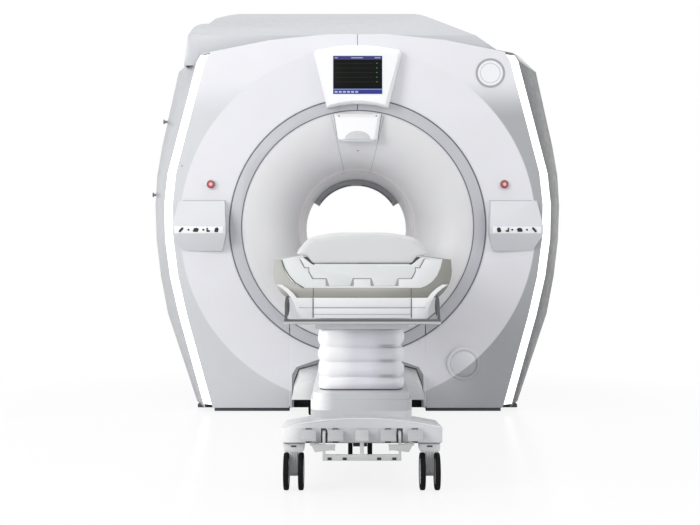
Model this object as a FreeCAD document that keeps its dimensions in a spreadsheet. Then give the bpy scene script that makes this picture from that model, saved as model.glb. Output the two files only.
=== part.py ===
import FreeCAD, Part
import math
import os
import Sketcher
from FreeCAD import Placement, Rotation, Vector

# A wide-bore magnetic resonance scanner: the gantry, which stands on the floor,
# and the wheeled patient table, which docks at its front.
# Millimetres. The origin is on the floor under the middle of the bore; +Y runs
# along the bore from the table to the back, +X is to the right seen from the table.

SIZES = {
    # Gantry body
    "gantry_depth": 1750,
    "bore_height": 1091,
    "bore_radius": 350,
    "liner_wall": 6,
    "mouth_depth": 380,
    "cover_wall": 8,
    "seam": 4,
    "fit_gap": 0.3,
    "skirt_height": 20,
    "crown_height": 2230,
    # Half widths of the front cover and the heights that they are taken at
    "edge_base": 856,
    "edge_low": 1006,
    "edge_mid": 1094,
    "edge_high": 1028,
    "edge_shoulder": 900,
    "edge_brow": 868,
    "level_low": 560,
    "level_mid": 1120,
    "level_high": 1580,
    "level_shoulder": 2070,
    "level_brow": 2121,
    # Lit strip round the front cover's two sides
    "light_width": 54,
    "light_depth": 40,
    "light_start": 38,
    "light_end": 2106,
    # Side covers: how far they flare past the lit strip at each height
    "flare_depth": 300,
    "flare_base": 75,
    "flare_low": 105,
    "flare_mid": 93,
    "flare_high": 120,
    "flare_shoulder": 145,
    "flare_brow": 64,
    "flank_shoulder_level": 2045,
    "flank_brow_level": 2150,
    "crown_rise": 60,
    "rear_length": 300,
    "rear_taper": 110,
    "hook_high": 1740,
    "hook_low": 1290,
    "hook_radius": 8,
    "hook_reach": 28,
    "hook_head": 14,
    "hook_head_thick": 6,
    # Dish of the front cover and the trim ring round the bore
    "crease_radius": 1050,
    "dish_depth": 40,
    "rim_depth": 36,
    "ring_outer": 758,
    "ring_inner": 690,
    "ring_thick": 18,
    "ring_proud": 4,
    "ring_ledge": 12,
    "seam_offset": 403,
    # Docking arch in the lower cover
    "arch_half": 388,
    "arch_side": 215,
    "arch_corner_half": 362,
    "arch_corner": 258,
    "arch_knee_half": 248,
    "arch_knee": 297,
    "arch_top": 330,
    # Roof cover over the service turret
    "roof_height": 2442,
    "roof_front": 60,
    "roof_slope": 440,
    "roof_back_slope": 180,
    "roof_left": 1034,
    "roof_lean": 32,
    "roof_corner": 60,
    "roof_step_half": 912,
    "roof_step_height": 2342,
    "roof_brow_half": 885,
    "roof_brow": 2392,
    "roof_top_left": 700,
    "roof_top_right": 360,
    "roof_right_half": 440,
    "roof_right_brow": 2412,
    "roof_right": 962,
    "roof_foot": 2050,
    "roof_round": 9,
    # Magnet
    "vessel_radius": 960,
    "vessel_bore": 456,
    "vessel_length": 1420,
    "vessel_edge": 45,
    "gradient_length": 1100,
    "gradient_inner": 376,
    "coil_inner": 358.3,
    "coil_length": 700,
    "coil_ring_width": 60,
    "rung_width": 26,
    "rail_inner": 590,
    "rail_outer": 710,
    "frame_height": 100,
    "foot_length": 160,
    "foot_rise": 370,
    "toe_depth": 50,
    "toe_inset": 10,
    "turret_radius": 170,
    "turret_offset": 300,
    "turret_top": 2210,
    "turret_flange": 205,
    "cold_head_radius": 70,
    "cold_head_height": 175,
    # Bridge that carries the cradle through the bore
    "bridge_top": 812,
    "bridge_nose": 40,
    "bridge_end": 1690,
    "bridge_wall": 12,
    # Display and positioning light over the bore
    "display_top": 2130,
    "display_crown": 2153,
    "display_top_half": 264,
    "display_lean": 0.24,
    "display_round": 46,
    "display_bottom_half": 181,
    "display_bottom": 1790,
    "display_arc": 725,
    "display_proud": 66,
    "display_bevel": 22,
    "screen_half": 143,
    "screen_bottom": 1864,
    "screen_top": 2086,
    "screen_thick": 5,
    "bezel_depth": 3,
    "lamp_top": 1757,
    "lamp_bottom": 1602,
    "lamp_top_half": 141,
    "lamp_bottom_half": 118,
    "lamp_proud": 10,
    "lamp_sink": 36,
    "lens_thick": 7,
    # Control panels left and right of the bore
    "panel_inner": 773,
    "panel_outer": 1083,
    "panel_top": 1243,
    "panel_brow": 1093,
    "panel_chin": 1046,
    "panel_bottom": 946,
    "panel_proud": 80,
    "panel_inset": 26,
    "keypad_margin": 14,
    "keypad_thick": 2,
    "key_rise": 2,
    "key_size": 13,
    # Stop buttons
    "stop_offset": 867,
    "stop_height": 1340,
    "stop_radius": 24,
    "stop_stem": 9,
    "stop_travel": 5,
    "stop_cap": 11,
    "boss_radius": 32,
    "running_gap": 0.06,
    # Round cap on the lower right of the front cover
    "cap_offset": 626,
    "cap_height": 280,
    "cap_radius": 78,
    "cap_proud": 9,
    # Docking unit under the gantry
    "dock_start": 100,
    "dock_half": 190,
    "dock_bottom": 60,
    "dock_top": 205,
    "dock_pin_offset": 104,
    "dock_pin_height": 120,
    "dock_pin_radius": 20,
    # Table: where it starts and ends, measured from the front cover's face
    "table_reach": 2400,
    "table_gap": 60,
    "trough_rim": 925,
    "trough_half": 312,
    "trough_bottom": 814,
    "trough_flat": 226,
    "cradle_clear": 3,
    "cradle_rim": 932,
    "cradle_rim_half": 241,
    "cradle_rim_wall": 13,
    "cradle_step": 894,
    "cradle_step_half": 222,
    "cradle_body_half": 205,
    "cradle_body": 879,
    "cradle_base_half": 190,
    "cradle_base": 852,
    "cradle_foot": 822,
    "cradle_foot_outer": 138,
    "cradle_foot_inner": 36,
    "foot_draft": 11,
    "pad_bottom": 905,
    "pad_bottom_half": 190,
    "pad_side": 941,
    "pad_side_half": 256,
    "pad_under_half": 214,
    "pad_shoulder": 1006,
    "pad_shoulder_half": 208,
    "pad_crown": 1031,
    "pad_taper": 26,
    "pad_crush": 9,
    "pad_channel": 7,
    "shell_tip": 925,
    "shell_tip_half": 345,
    "shell_wide": 880,
    "shell_wide_half": 348,
    "shell_foot_half": 295,
    "shell_middle": 824,
    "shell_bottom": 777,
    "skirt_bottom": 698,
    "skirt_half": 255,
    "skirt_line": 738,
    "skirt_seam": 190,
    "frame_half": 165,
    "frame_bottom": 627,
    "frame_lip": 651,
    "arm_half": 333,
    "arm_level": 828,
    "arm_middle_half": 282,
    "arm_middle": 786,
    "arm_foot": 728,
    "arm_width": 22,
    "arm_depth": 12,
    "handle_half": 300,
    "handle_level": 687,
    "handle_radius": 10,
    "handle_reach": 58,
    "bracket_offset": 293,
    "bracket_width": 10,
    "bracket_seat": 40,
    # Lift and its bellows
    "bellows_half": 185,
    "bellows_neck": 160,
    "bellows_bottom": 368,
    "bellows_start": 700,
    "bellows_length": 1300,
    "bellows_round": 60,
    "bellows_wall": 4,
    "column_radius": 60,
    "column_bore": 50,
    "column_bottom": 110,
    "column_top": 435,
    "column_flange": 85,
    "flange_thick": 10,
    "ram_bottom": 303,
    "column_first": 975,
    "column_pitch": 750,
    # Dolly
    "hood_half": 320,
    "hood_edge": 196,
    "hood_side": 258,
    "hood_crown": 294,
    "hood_fall": 30,
    "hood_length": 390,
    "hood_wall": 5,
    "hood_start": 110,
    "nose_half": 374,
    "nose_edge": 112,
    "nose_side": 170,
    "nose_shoulder_half": 346,
    "nose_shoulder": 246,
    "nose_crown": 300,
    "nose_drop": 44,
    "nose_taper": 12,
    "nose_length": 400,
    "nose_reach": 60,
    "spine_top": 236,
    "tower_half": 211,
    "tower_round": 55,
    "tower_start": 600,
    "tower_length": 1500,
    "plate_thick": 28,
    "plate_inset": 11,
    "well_rim": 14,
    "chassis_bottom": 190,
    "chassis_top": 226,
    "chassis_rail": 150,
    "chassis_rail_width": 50,
    "cross_width": 90,
    # Casters and the steering wheel
    "wheel_radius": 75,
    "tyre_width": 21,
    "caster_width": 80,
    "caster_trail": 30,
    "caster_near_offset": 272,
    "caster_near_reach": 2220,
    "caster_far_offset": 244,
    "caster_far_reach": 120,
    "axle_radius": 7,
    "crown_radius": 38,
    "king_radius": 9,
    "king_length": 22,
    "steer_reach": 1512,
    "steer_width": 111,
    # Pedals
    "pedal_first": 104,
    "pedal_pitch": 107,
    "pedal_width": 60,
    "pedal_top": 249,
    "pedal_toe": 217,
    "pedal_reach": 46,
    "pedal_thick": 8,
    "pedal_shaft_level": 238,
    "pedal_shaft_reach": 2262,
    "pedal_shaft_radius": 7,
    "pedal_hub_radius": 11.4,
    "bar_top": 153,
    "bar_bottom": 129,
    "bar_arm": 150,
    "bar_wing_half": 206,
    "bar_wing_level": 202,
    "bar_elbow_half": 107,
    "bar_elbow_level": 176,
}

KEY_SHAPES = ("bar", "dot", "square", "dot", "dot", "bar")
COIL_BARS = 8
BULGES = 4
# Chords of a bowed edge and of a rounded corner, and sides of what runs round an axis
CHORDS = 5
CORNER_CHORDS = 3
RING_SIDES = 72
BORE_SIDES = 48
COIL_SIDES = 32
WHEEL_SIDES = 32
NECK_SIDES = 24
PIN_SIDES = 12
# Steps of the funnel's flare, in front and at its back
MOUTH_STEPS = 5
BACK_STEPS = 3

MAX_FACE_GAP = 1e-4
TURNS = {
    "x": Rotation(Vector(0, 1, 0), 90),
    "y": Rotation(Vector(1, 0, 0), -90),
    "z": Rotation(),
}
UPRIGHT = Rotation(Vector(1, 0, 0), 90)


class Size:
    """A length that knows its number and the sheet expression that gives it."""

    def __init__(self, value, text):
        self.value = float(value)
        self.text = text

    def join(self, other, sign, value):
        return Size(value, f"({self.text} {sign} {text_of(other)})")

    def __add__(self, other):
        return self.join(other, "+", self.value + number(other))

    def __sub__(self, other):
        return self.join(other, "-", self.value - number(other))

    def __mul__(self, other):
        return self.join(other, "*", self.value * number(other))

    def __truediv__(self, other):
        return self.join(other, "/", self.value / number(other))

    def __neg__(self):
        return self * -1

    def __rsub__(self, other):
        return -self + other

    __radd__ = __add__
    __rmul__ = __mul__


def number(size):
    return size.value if isinstance(size, Size) else float(size)


def text_of(size):
    return size.text if isinstance(size, Size) else f"({size:.9g})"


def hypotenuse(one, other):
    value = math.hypot(one.value, other.value)
    return Size(value, f"sqrt({one.text} * {one.text} + {other.text} * {other.text})")


class Sheet:
    """The spreadsheet of driving sizes; each alias is also an attribute."""

    def __init__(self, sizes):
        cells = doc.addObject("Spreadsheet::Sheet", "Sizes")
        for row, (alias, value) in enumerate(sizes.items(), start=1):
            cells.set(f"A{row}", alias)
            cells.set(f"B{row}", str(value))
            cells.setAlias(f"B{row}", alias)
            setattr(self, alias, Size(value, f"Sizes.{alias}"))


doc = FreeCAD.newDocument("Scanner")
s = Sheet(SIZES)
doc.recompute()
nodes = {}

front = s.gantry_depth / -2
back = s.gantry_depth / 2
foot_end = front - s.table_reach
head_end = front - s.table_gap


# ---------------------------------------------------------------- drawing tools


def bind(piece, **sizes):
    for name, size in sizes.items():
        if isinstance(size, Size):
            piece.setExpression(name, size.text)
        else:
            setattr(piece, name, size)


def place(piece, x=0, y=0, z=0, turn=Rotation()):
    piece.Placement = Placement(Vector(number(x), number(y), number(z)), turn)
    for axis, size in zip("xyz", (x, y, z)):
        if isinstance(size, Size):
            piece.setExpression(f"Placement.Base.{axis}", size.text)
    return piece


def box(name, x, y, z):
    """A block from three (low, high) pairs."""
    block = doc.addObject("Part::Box", name)
    bind(block, Length=x[1] - x[0], Width=y[1] - y[0], Height=z[1] - z[0])
    return place(block, x[0], y[0], z[0])


def rod(name, radius, length, start, axis):
    cylinder = doc.addObject("Part::Cylinder", name)
    bind(cylinder, Radius=radius, Height=length)
    return place(cylinder, *start, turn=TURNS[axis])


def flat_first(axis, sides):
    """The turn onto an axis that leaves a polygon with flats at its sides, top and bottom."""
    return TURNS[axis].multiply(Rotation(Vector(0, 0, 1), 180 / sides))


def prism(name, sides, radius, length, start, axis):
    """A regular prism with its flats at the radius."""
    bar = doc.addObject("Part::Prism", name)
    bind(bar, Polygon=sides, Circumradius=radius / math.cos(math.pi / sides), Height=length)
    return place(bar, *start, turn=flat_first(axis, sides))


def stack(name, sides, stations, centre, axis):
    """A skin through regular polygons, each at (along, radius) with its flats at the radius."""
    rings = []
    for i, (along, radius) in enumerate(stations):
        ring = doc.addObject("Part::RegularPolygon", f"{name}_{i}")
        bind(ring, Polygon=sides, Circumradius=radius / math.cos(math.pi / sides))
        spot = [at + along if letter == axis else at for letter, at in zip("xyz", centre)]
        rings.append(place(ring, *spot, turn=flat_first(axis, sides)))
    return skinned(name, rings)


def skinned(name, sections):
    """A solid of flat faces between one section and the next, corner to corner."""
    rings = []
    for outline_piece in sections:
        outline_piece.recompute()
        rings.append([corner.Point for corner in outline_piece.Shape.OrderedVertexes])
    faces = [flat_face(rings[0]), flat_face(rings[-1])]
    for low, high in zip(rings, rings[1:]):
        for i in range(len(low)):
            faces += flat_faces(low[i - 1], low[i], high[i], high[i - 1])
    skin = doc.addObject("Part::Feature", name)
    solid = Part.Solid(Part.Shell(faces))
    skin.Shape = solid if solid.Volume > 0 else solid.reversed()
    return skin


def flat_face(corners):
    return Part.Face(Part.makePolygon([*corners, corners[0]]))


def flat_faces(a, b, c, d):
    """One flat face through four corners, or two triangles where they are out of plane."""
    square = (b - a).cross(c - a).normalize()
    if abs(square.dot(d - a)) < MAX_FACE_GAP:
        return [flat_face([a, b, c, d])]
    return [flat_face([a, b, c]), flat_face([a, c, d])]


def fuse(name, *pieces):
    union = doc.addObject("Part::MultiFuse", name)
    union.Shapes = list(pieces)
    return union


def cut(name, base, *tools):
    difference = doc.addObject("Part::Cut", name)
    difference.Base = base
    difference.Tool = tools[0] if len(tools) == 1 else fuse(f"{name}_tools", *tools)
    return difference


def common(name, one, other):
    overlap = doc.addObject("Part::Common", name)
    overlap.Base = one
    overlap.Tool = other
    return overlap


def node(label, piece):
    """Name a finished sub-part."""
    piece.Label = label
    nodes[label] = piece
    return piece


def hold(sketch, point, u, v):
    """Fix one sketch point at sheet sizes from the sketch's origin."""
    for kind, size in (("DistanceX", u), ("DistanceY", v)):
        rule = Sketcher.Constraint(kind, -1, 1, *point, number(size))
        index = sketch.addConstraint(rule)
        if isinstance(size, Size):
            sketch.setExpression(f"Constraints[{index}]", size.text)


def chorded(corners, chords):
    """The outline with each bow to a corner (u, v, (u, v)), past a middle point, as chords."""
    plain = []
    for i, corner in enumerate(corners):
        if len(corner) == 3:
            start, middle = corners[i - 1], corner[2]
            for step in range(1, chords):
                t = step / chords
                shares = (1 - t) * (1 - 2 * t), 4 * t * (1 - t), t * (2 * t - 1)
                spots = start, middle, corner
                plain.append(tuple(sum(p[k] * share for p, share in zip(spots, shares)) for k in (0, 1)))
        plain.append(corner[:2])
    return plain


def draw(sketch, corners, chords=CHORDS):
    """A closed outline. A corner is (u, v), or (u, v, (u, v)) where a bow leads to it."""
    corners = chorded(corners, chords)
    spots = [Vector(number(u), number(v), 0) for u, v in corners]
    count = len(corners)
    for i in range(count):
        sketch.addGeometry(Part.LineSegment(spots[i], spots[(i + 1) % count]), False)
    for i in range(count):
        sketch.addConstraint(Sketcher.Constraint("Coincident", (i - 1) % count, 2, i, 1))
        hold(sketch, (i, 1), *corners[i])


def sketched(body, plane, corners, chords=CHORDS):
    sketch = body.newObject("Sketcher::SketchObject", f"{body.Name}_outline")
    support = next(f for f in body.Origin.OriginFeatures if f.Role == plane)
    sketch.AttachmentSupport = [(support, "")]
    sketch.MapMode = "FlatFace"
    draw(sketch, corners, chords)
    return sketch


def slab(name, plane, corners, low, high, chords=CHORDS):
    """An outline padded from low to high along the axis square to its plane."""
    body = doc.addObject("PartDesign::Body", name)
    sketch = sketched(body, plane, corners, chords)
    pad = body.newObject("PartDesign::Pad", f"{name}_pad")
    pad.Profile = sketch
    bind(pad, Length=high - low)
    start = {"XY_Plane": (0, 0, low), "XZ_Plane": (0, high, 0), "YZ_Plane": (low, 0, 0)}
    return place(body, *start[plane])


def round_bore(name, sides, stations):
    """A skin of (y, radius) stations round the bore's axis."""
    return stack(name, sides, stations, (0, 0, s.bore_height), "y")


def tube(name, sides, inner, outer, low, high):
    skin = round_bore(f"{name}_outside", sides, [(low, outer), (high, outer)])
    space = round_bore(f"{name}_inside", sides, [(low - s.seam, inner), (high + s.seam, inner)])
    return cut(name, skin, space)


def section(name, corners, y):
    sketch = doc.addObject("Sketcher::SketchObject", name)
    draw(sketch, corners)
    return place(sketch, 0, y, 0, UPRIGHT)


def loft(name, sections):
    """A skin through (outline, y) sections, each upright across the bore's axis."""
    return skinned(name, [section(f"{name}_{i}", shape, y) for i, (shape, y) in enumerate(sections)])


def mirrored(points):
    """The right half of an outline, from the bottom up, closed by its left half."""
    left = []
    arrival = None
    for point in reversed(points):
        corner = (-point[0], point[1])
        left.append(corner + ((-arrival[0], arrival[1]),) if arrival else corner)
        arrival = point[2] if len(point) == 3 else None
    return points + left


def sided(corners, side):
    """The same outline on the left (-1) or the right (1)."""
    return [
        (corner[0] * side, corner[1]) + tuple((via[0] * side, via[1]) for via in corner[2:])
        for corner in corners
    ]


# ---------------------------------------------------------------- gantry covers


def edge_halves(extra=0):
    return [
        half + extra
        for half in (s.edge_base, s.edge_low, s.edge_mid, s.edge_high, s.edge_shoulder, s.edge_brow)
    ]


def edge_levels():
    return [s.level_shoulder, s.level_brow, s.crown_height]


def flank_halves(taper=0):
    flares = (s.flare_base, s.flare_low, s.flare_mid, s.flare_high, s.flare_shoulder, s.flare_brow)
    return [half + flare - taper for half, flare in zip(edge_halves(s.light_width), flares)]


def flank_levels(taper=0):
    return [
        s.flank_shoulder_level - taper,
        s.flank_brow_level - taper,
        s.crown_height + s.crown_rise - taper,
    ]


def outline(halves, levels, inset=0, drop=0):
    """The gantry's section: straight lower sides, bowed middle, cut shoulders, arched top."""
    base, low, mid, high, shoulder, brow = [half - inset for half in halves]
    shoulder_z, brow_z, crown_z = levels
    right = [
        (base, s.skirt_height - drop),
        (low, s.level_low),
        (high, s.level_high, (mid, s.level_mid)),
        (shoulder, shoulder_z),
        (brow, brow_z - inset),
    ]
    left = mirrored(right)[len(right):]
    left[0] = left[0] + ((0, crown_z - inset),)
    return right + left


def hollow(name, stations, wall_front=0, wall_back=0):
    """A thin skin through (halves, levels, y) stations, open at its bottom."""
    outer = loft(f"{name}_outside", [(outline(h, v), y) for h, v, y in stations])
    ends = [y for h, v, y in stations]
    ends[0] = ends[0] + wall_front
    ends[-1] = ends[-1] - wall_back
    inner = loft(
        f"{name}_inside",
        [
            (outline(h, v, s.cover_wall, s.cover_wall), y)
            for (h, v, _), y in zip(stations, ends)
        ],
    )
    return cut(name, outer, inner), outer


def half_space(name, side, low, high=None):
    """A block that holds one side of the gantry, from low outwards."""
    reach = s.edge_mid * 2
    x = (low, reach) if side > 0 else (-reach, -low)
    return box(name, x, (front * 2, back * 2), (-reach, high or s.roof_height * 2))


def lower_block(name, half):
    return box(name, (-half, half), (front * 2, front + s.mouth_depth), (-half, s.bore_height))


def front_skin():
    """The front cover before it is cut at its seams: a rimmed plate with a dished middle."""
    plate, _ = hollow(
        "front_plate",
        [
            (edge_halves(), edge_levels(), front),
            (edge_halves(), edge_levels(), front + s.rim_depth),
        ],
        wall_front=s.cover_wall,
    )
    wall = s.cover_wall
    crease = s.crease_radius
    opening = round_bore("dish_opening", RING_SIDES, [(front - wall, crease), (front + wall * 3, crease)])
    dish = front + s.dish_depth
    ledge = dish - s.ring_proud + s.ring_thick + s.fit_gap
    edge = s.ring_outer + s.seam
    hole = s.ring_outer - s.ring_ledge
    dish_back = round_bore(
        "dish_back", RING_SIDES,
        [(front, crease), (front + wall, crease), (ledge + wall, edge + wall)],
    )
    dish_front = round_bore("dish_front", RING_SIDES, [(front, crease), (dish, edge), (ledge, edge)])
    dish_hole = round_bore("dish_hole", RING_SIDES, [(dish, hole), (ledge + wall * 2, hole)])
    bosses = [
        prism(f"stop_boss_{side:+d}", PIN_SIDES, s.boss_radius, wall * 2,
              (s.stop_offset * side, stop_seat, s.stop_height), "y")
        for side in (-1, 1)
    ]
    holes = [
        prism(f"stop_hole_{side:+d}", PIN_SIDES, s.stop_stem + s.running_gap, s.dish_depth * 2,
              (s.stop_offset * side, front - s.dish_depth / 2, s.stop_height), "y")
        for side in (-1, 1)
    ]
    dish_skin = cut("dish", dish_back, dish_front, dish_hole)
    solid = fuse("front_solid", cut("front_open", plate, opening), dish_skin, *bosses)
    return cut("front_skin", solid, *holes)


def front_covers():
    """Left and right halves and the lower middle panel, with its docking arch."""
    skin = front_skin()
    gap = s.seam / 2
    for side, label in ((-1, "front_cover_left"), (1, "front_cover_right")):
        keep = half_space(f"{label}_keep", side, gap)
        below = lower_block(f"{label}_below", s.seam_offset + gap)
        node(label, cut(label, common(f"{label}_half", skin, keep), below))
    mouth = mirrored([
        (s.arch_half, -s.skirt_height),
        (s.arch_half, s.arch_side),
        (s.arch_corner_half, s.arch_corner),
        (s.arch_knee_half, s.arch_knee),
    ])
    mouth[4] += ((0, s.arch_top),)
    arch = slab("arch", "XZ_Plane", mouth, front - s.dish_depth, front + s.dish_depth * 3)
    middle = common("lower_middle", skin, lower_block("lower_keep", s.seam_offset - gap))
    node("lower_cover", cut("lower_cover", middle, arch))


def trim_ring():
    """The flat ring round the funnel, in three segments with seams between them."""
    face = front + s.dish_depth - s.ring_proud
    ring = tube("trim_ring", RING_SIDES, s.ring_inner, s.ring_outer, face, face + s.ring_thick)
    gap = s.seam / 2
    for side, label in ((-1, "ring_left"), (1, "ring_right")):
        keep = half_space(f"{label}_keep", side, gap)
        below = lower_block(f"{label}_below", s.seam_offset + gap)
        node(label, cut(label, common(f"{label}_half", ring, keep), below))
    node("ring_bottom", common("ring_bottom", ring, lower_block("ring_keep", s.seam_offset - gap)))


def edge_lights():
    """A wedge-shaped lit strip along each side of the front cover."""
    start = front + s.seam / 2
    end = front + s.light_depth
    outer = loft(
        "light_outside",
        [
            (outline(edge_halves(s.seam), edge_levels()), start),
            (outline(edge_halves(s.light_width), edge_levels()), end),
        ],
    )
    core = outline(edge_halves(s.fit_gap), edge_levels(), 0, s.seam)
    inner = slab("light_inside", "XZ_Plane", core, start - s.seam, end + s.seam)
    band = cut("light_band", outer, inner)
    near, far = s.edge_brow - s.light_width * 2, s.edge_mid + s.light_width * 2
    for label, x in (("edge_light_left", (-far, -near)), ("edge_light_right", (near, far))):
        keep = box(f"{label}_keep", x, (front, end + s.seam), (s.light_start, s.light_end))
        node(label, common(label, band, keep))


def side_covers():
    """The flanks, which flare behind the lit strips and run back to the rear cover."""
    skin, outer = hollow(
        "flank",
        [
            (edge_halves(s.light_width), edge_levels(), front + s.light_depth + s.fit_gap),
            (flank_halves(), flank_levels(), front + s.flare_depth),
            (flank_halves(), flank_levels(), back - s.rear_length - s.fit_gap),
        ],
    )
    hatch = box(
        "turret_hatch",
        (-s.turret_offset - s.turret_flange * 1.2, -s.turret_offset + s.turret_flange * 1.2),
        (-s.turret_flange * 1.2, s.turret_flange * 1.2),
        (s.vessel_radius + s.bore_height, s.roof_height * 1.2),
    )
    open_skin = cut("flank_open", skin, hatch)
    keep = half_space("side_cover_right_keep", 1, s.seam / 2)
    node("side_cover_right", common("side_cover_right", open_skin, keep))
    left = common("flank_left", open_skin, half_space("side_cover_left_keep", -1, s.seam / 2))
    rise = (s.hook_high - s.level_high) / (s.flank_shoulder_level - s.level_high)
    high, shoulder = flank_halves()[3], flank_halves()[4]
    hooks = hook("hook_high", high + (shoulder - high) * rise, s.hook_high)
    hooks += hook("hook_low", flank_halves()[2] - s.cover_wall, s.hook_low)
    node("side_cover_left", fuse("side_cover_left", left, *hooks))
    return outer


def hook(name, half, level):
    """A headed peg that stands out of the left flank and holds a coiled lead."""
    y = front + s.flare_depth + s.hook_head
    start = -half - s.hook_reach, y, level
    peg = prism(f"{name}_peg", PIN_SIDES, s.hook_radius, s.hook_reach + s.cover_wall / 2, start, "x")
    return [peg, prism(f"{name}_head", PIN_SIDES, s.hook_head, s.hook_head_thick, start, "x")]


def rear_cover():
    skin, _ = hollow(
        "rear_skin",
        [
            (flank_halves(), flank_levels(), back - s.rear_length),
            (flank_halves(s.rear_taper), flank_levels(s.rear_taper), back),
        ],
        wall_back=s.cover_wall,
    )
    inner = s.ring_inner + s.fit_gap
    opening = round_bore("rear_opening", BORE_SIDES,
                         [(back - s.rear_length / 2, inner), (back + s.rear_length / 2, inner)])
    lip = back - s.dish_depth + s.ring_proud - s.ring_thick
    rim = tube("rear_rim", BORE_SIDES, inner, inner + s.cover_wall, lip, back)
    node("rear_cover", fuse("rear_cover", cut("rear_open", skin, opening), rim))


def roof_profile(inset):
    """Across the gantry: an upright left shoulder, a step, a flat top and a long right slope."""
    top = s.roof_height - inset
    step = s.roof_step_height - inset
    brow = s.roof_brow - inset
    corner = s.roof_left - s.roof_lean - inset
    return [
        (s.roof_right - inset, s.roof_foot - inset),
        (s.roof_right_half - inset, s.roof_right_brow - inset),
        (
            s.roof_top_right - inset, top,
            ((s.roof_right_half + s.roof_top_right) / 2 - inset, top - s.roof_round),
        ),
        (-s.roof_top_left + inset, top),
        (
            -s.roof_brow_half + inset, brow,
            (-(s.roof_brow_half + s.roof_top_left) / 2 + inset, top - s.roof_round),
        ),
        (-s.roof_step_half + inset, step),
        (-corner + s.roof_corner, step),
        (
            -corner, step - s.roof_corner,
            (-corner + s.roof_round * 2, step - s.roof_round * 2),
        ),
        (-s.roof_left + inset, s.roof_foot - inset),
    ]


def roof_solid(name, inset):
    start = front + s.roof_front + inset
    end = back - s.rear_length - s.fit_gap - inset
    across = slab(f"{name}_across", "XZ_Plane", roof_profile(inset), start - inset, end + inset)
    top = s.roof_height - inset
    along = slab(
        f"{name}_along", "YZ_Plane",
        [
            (start, s.roof_foot - inset * 2),
            (end, s.roof_foot - inset * 2),
            (end, s.crown_height),
            (end - s.roof_back_slope, top),
            (start + s.roof_slope, top),
            (start, s.crown_height),
        ],
        -s.roof_left - inset, s.roof_left + inset,
    )
    return common(name, across, along)


def roof_cover(flank):
    outer = roof_solid("roof_outside", 0)
    inner = roof_solid("roof_inside", s.cover_wall)
    front_block = slab("roof_front_block", "XZ_Plane", outline(edge_halves(s.light_width), edge_levels()),
                       front, front + s.light_depth + s.fit_gap)
    node("roof_cover", cut("roof_cover", outer, inner, flank, front_block))


# ---------------------------------------------------------------- bore and magnet


def trumpet(inset, steps):
    """Stations of the flare from the ring to the bore, from the first after the mouth to the throat."""
    start = front + s.dish_depth
    end = front + s.mouth_depth
    mouth = s.ring_inner - s.seam
    long, tall = end - start - inset, mouth - s.bore_radius - inset
    turns = [math.radians(90 * step / steps) for step in range(1, steps + 1)]
    return [(end - long * math.cos(turn), mouth - tall * math.sin(turn)) for turn in turns]


def mouth_stations():
    """The funnel's inner surface, from its thin edge behind the trim ring to the throat."""
    edge = s.ring_inner - s.seam - s.cover_wall / 2
    return [(front + s.dish_depth, edge)] + trumpet(0, MOUTH_STEPS)


def flared(stations, end):
    """The stations as they are at the front, or in the same order from the back."""
    return stations if end < 0 else [(-y, radius) for y, radius in reversed(stations)]


def funnel(name, end):
    """The trumpet mouth between the trim ring and the bore, with a lip behind the ring."""
    start = front + s.dish_depth
    lip = start - s.ring_proud + s.ring_thick + s.fit_gap
    wall = s.cover_wall
    mouth = s.ring_inner - s.seam
    deep = front + s.mouth_depth
    outside = [(start, mouth), (start + wall, mouth)] + trumpet(wall, BACK_STEPS)
    inside = mouth_stations() + [(deep + wall, s.bore_radius)]
    flange = [(lip, s.ring_inner + s.ring_ledge), (lip + wall, s.ring_inner + s.ring_ledge)]
    solid = fuse(
        f"{name}_solid",
        round_bore(f"{name}_outside", BORE_SIDES, flared(outside, end)),
        round_bore(f"{name}_flange", BORE_SIDES, flared(flange, end)),
    )
    space = round_bore(f"{name}_inside", BORE_SIDES, flared(inside, end))
    node(name, cut(name, solid, space))


def seat(name):
    """All that lies behind the dished front, a fit gap proud of it: what stands on it is cut back."""
    face = front - s.fit_gap
    ring_face = face + s.dish_depth - s.ring_proud
    reach = s.crease_radius * 2
    behind = box(f"{name}_block", (-reach, reach), (face, front + s.mouth_depth), (-reach, reach * 2))
    dish = round_bore(
        f"{name}_dish", RING_SIDES, [(face, s.crease_radius), (ring_face, s.ring_outer + s.seam)]
    )
    return cut(name, behind, dish)


def bore_parts():
    start = front + s.mouth_depth + s.fit_gap
    radius = s.bore_radius
    node("bore_liner", tube("bore_liner", BORE_SIDES, radius, radius + s.liner_wall, start, -start))
    funnel("front_funnel", -1)
    funnel("rear_funnel", 1)


def magnet():
    """The cryostat with its feet, the gradient coil and the body coil, one inside the other."""
    half = s.vessel_length / 2
    edge = s.vessel_edge
    ring = tube("vessel", COIL_SIDES, s.vessel_bore, s.vessel_radius, -half, half)
    feet = []
    for side in (-1, 1):
        for end in (-1, 1):
            x = sorted((s.rail_inner * side, s.rail_outer * side), key=number)
            y = sorted(((half - edge) * end, (half - edge - s.foot_length) * end), key=number)
            z = s.frame_height, s.frame_height + s.foot_rise
            feet.append(box(f"magnet_foot_{side:+d}{end:+d}", x, y, z))
    node("magnet_vessel", fuse("magnet_vessel", ring, *feet))
    gradient = s.gradient_length / 2
    outer = s.vessel_bore - s.fit_gap
    coil = tube("gradient_coil", COIL_SIDES, s.gradient_inner, outer, -gradient, gradient)
    node("gradient_coil", coil)
    node("body_coil", body_coil())


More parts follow.
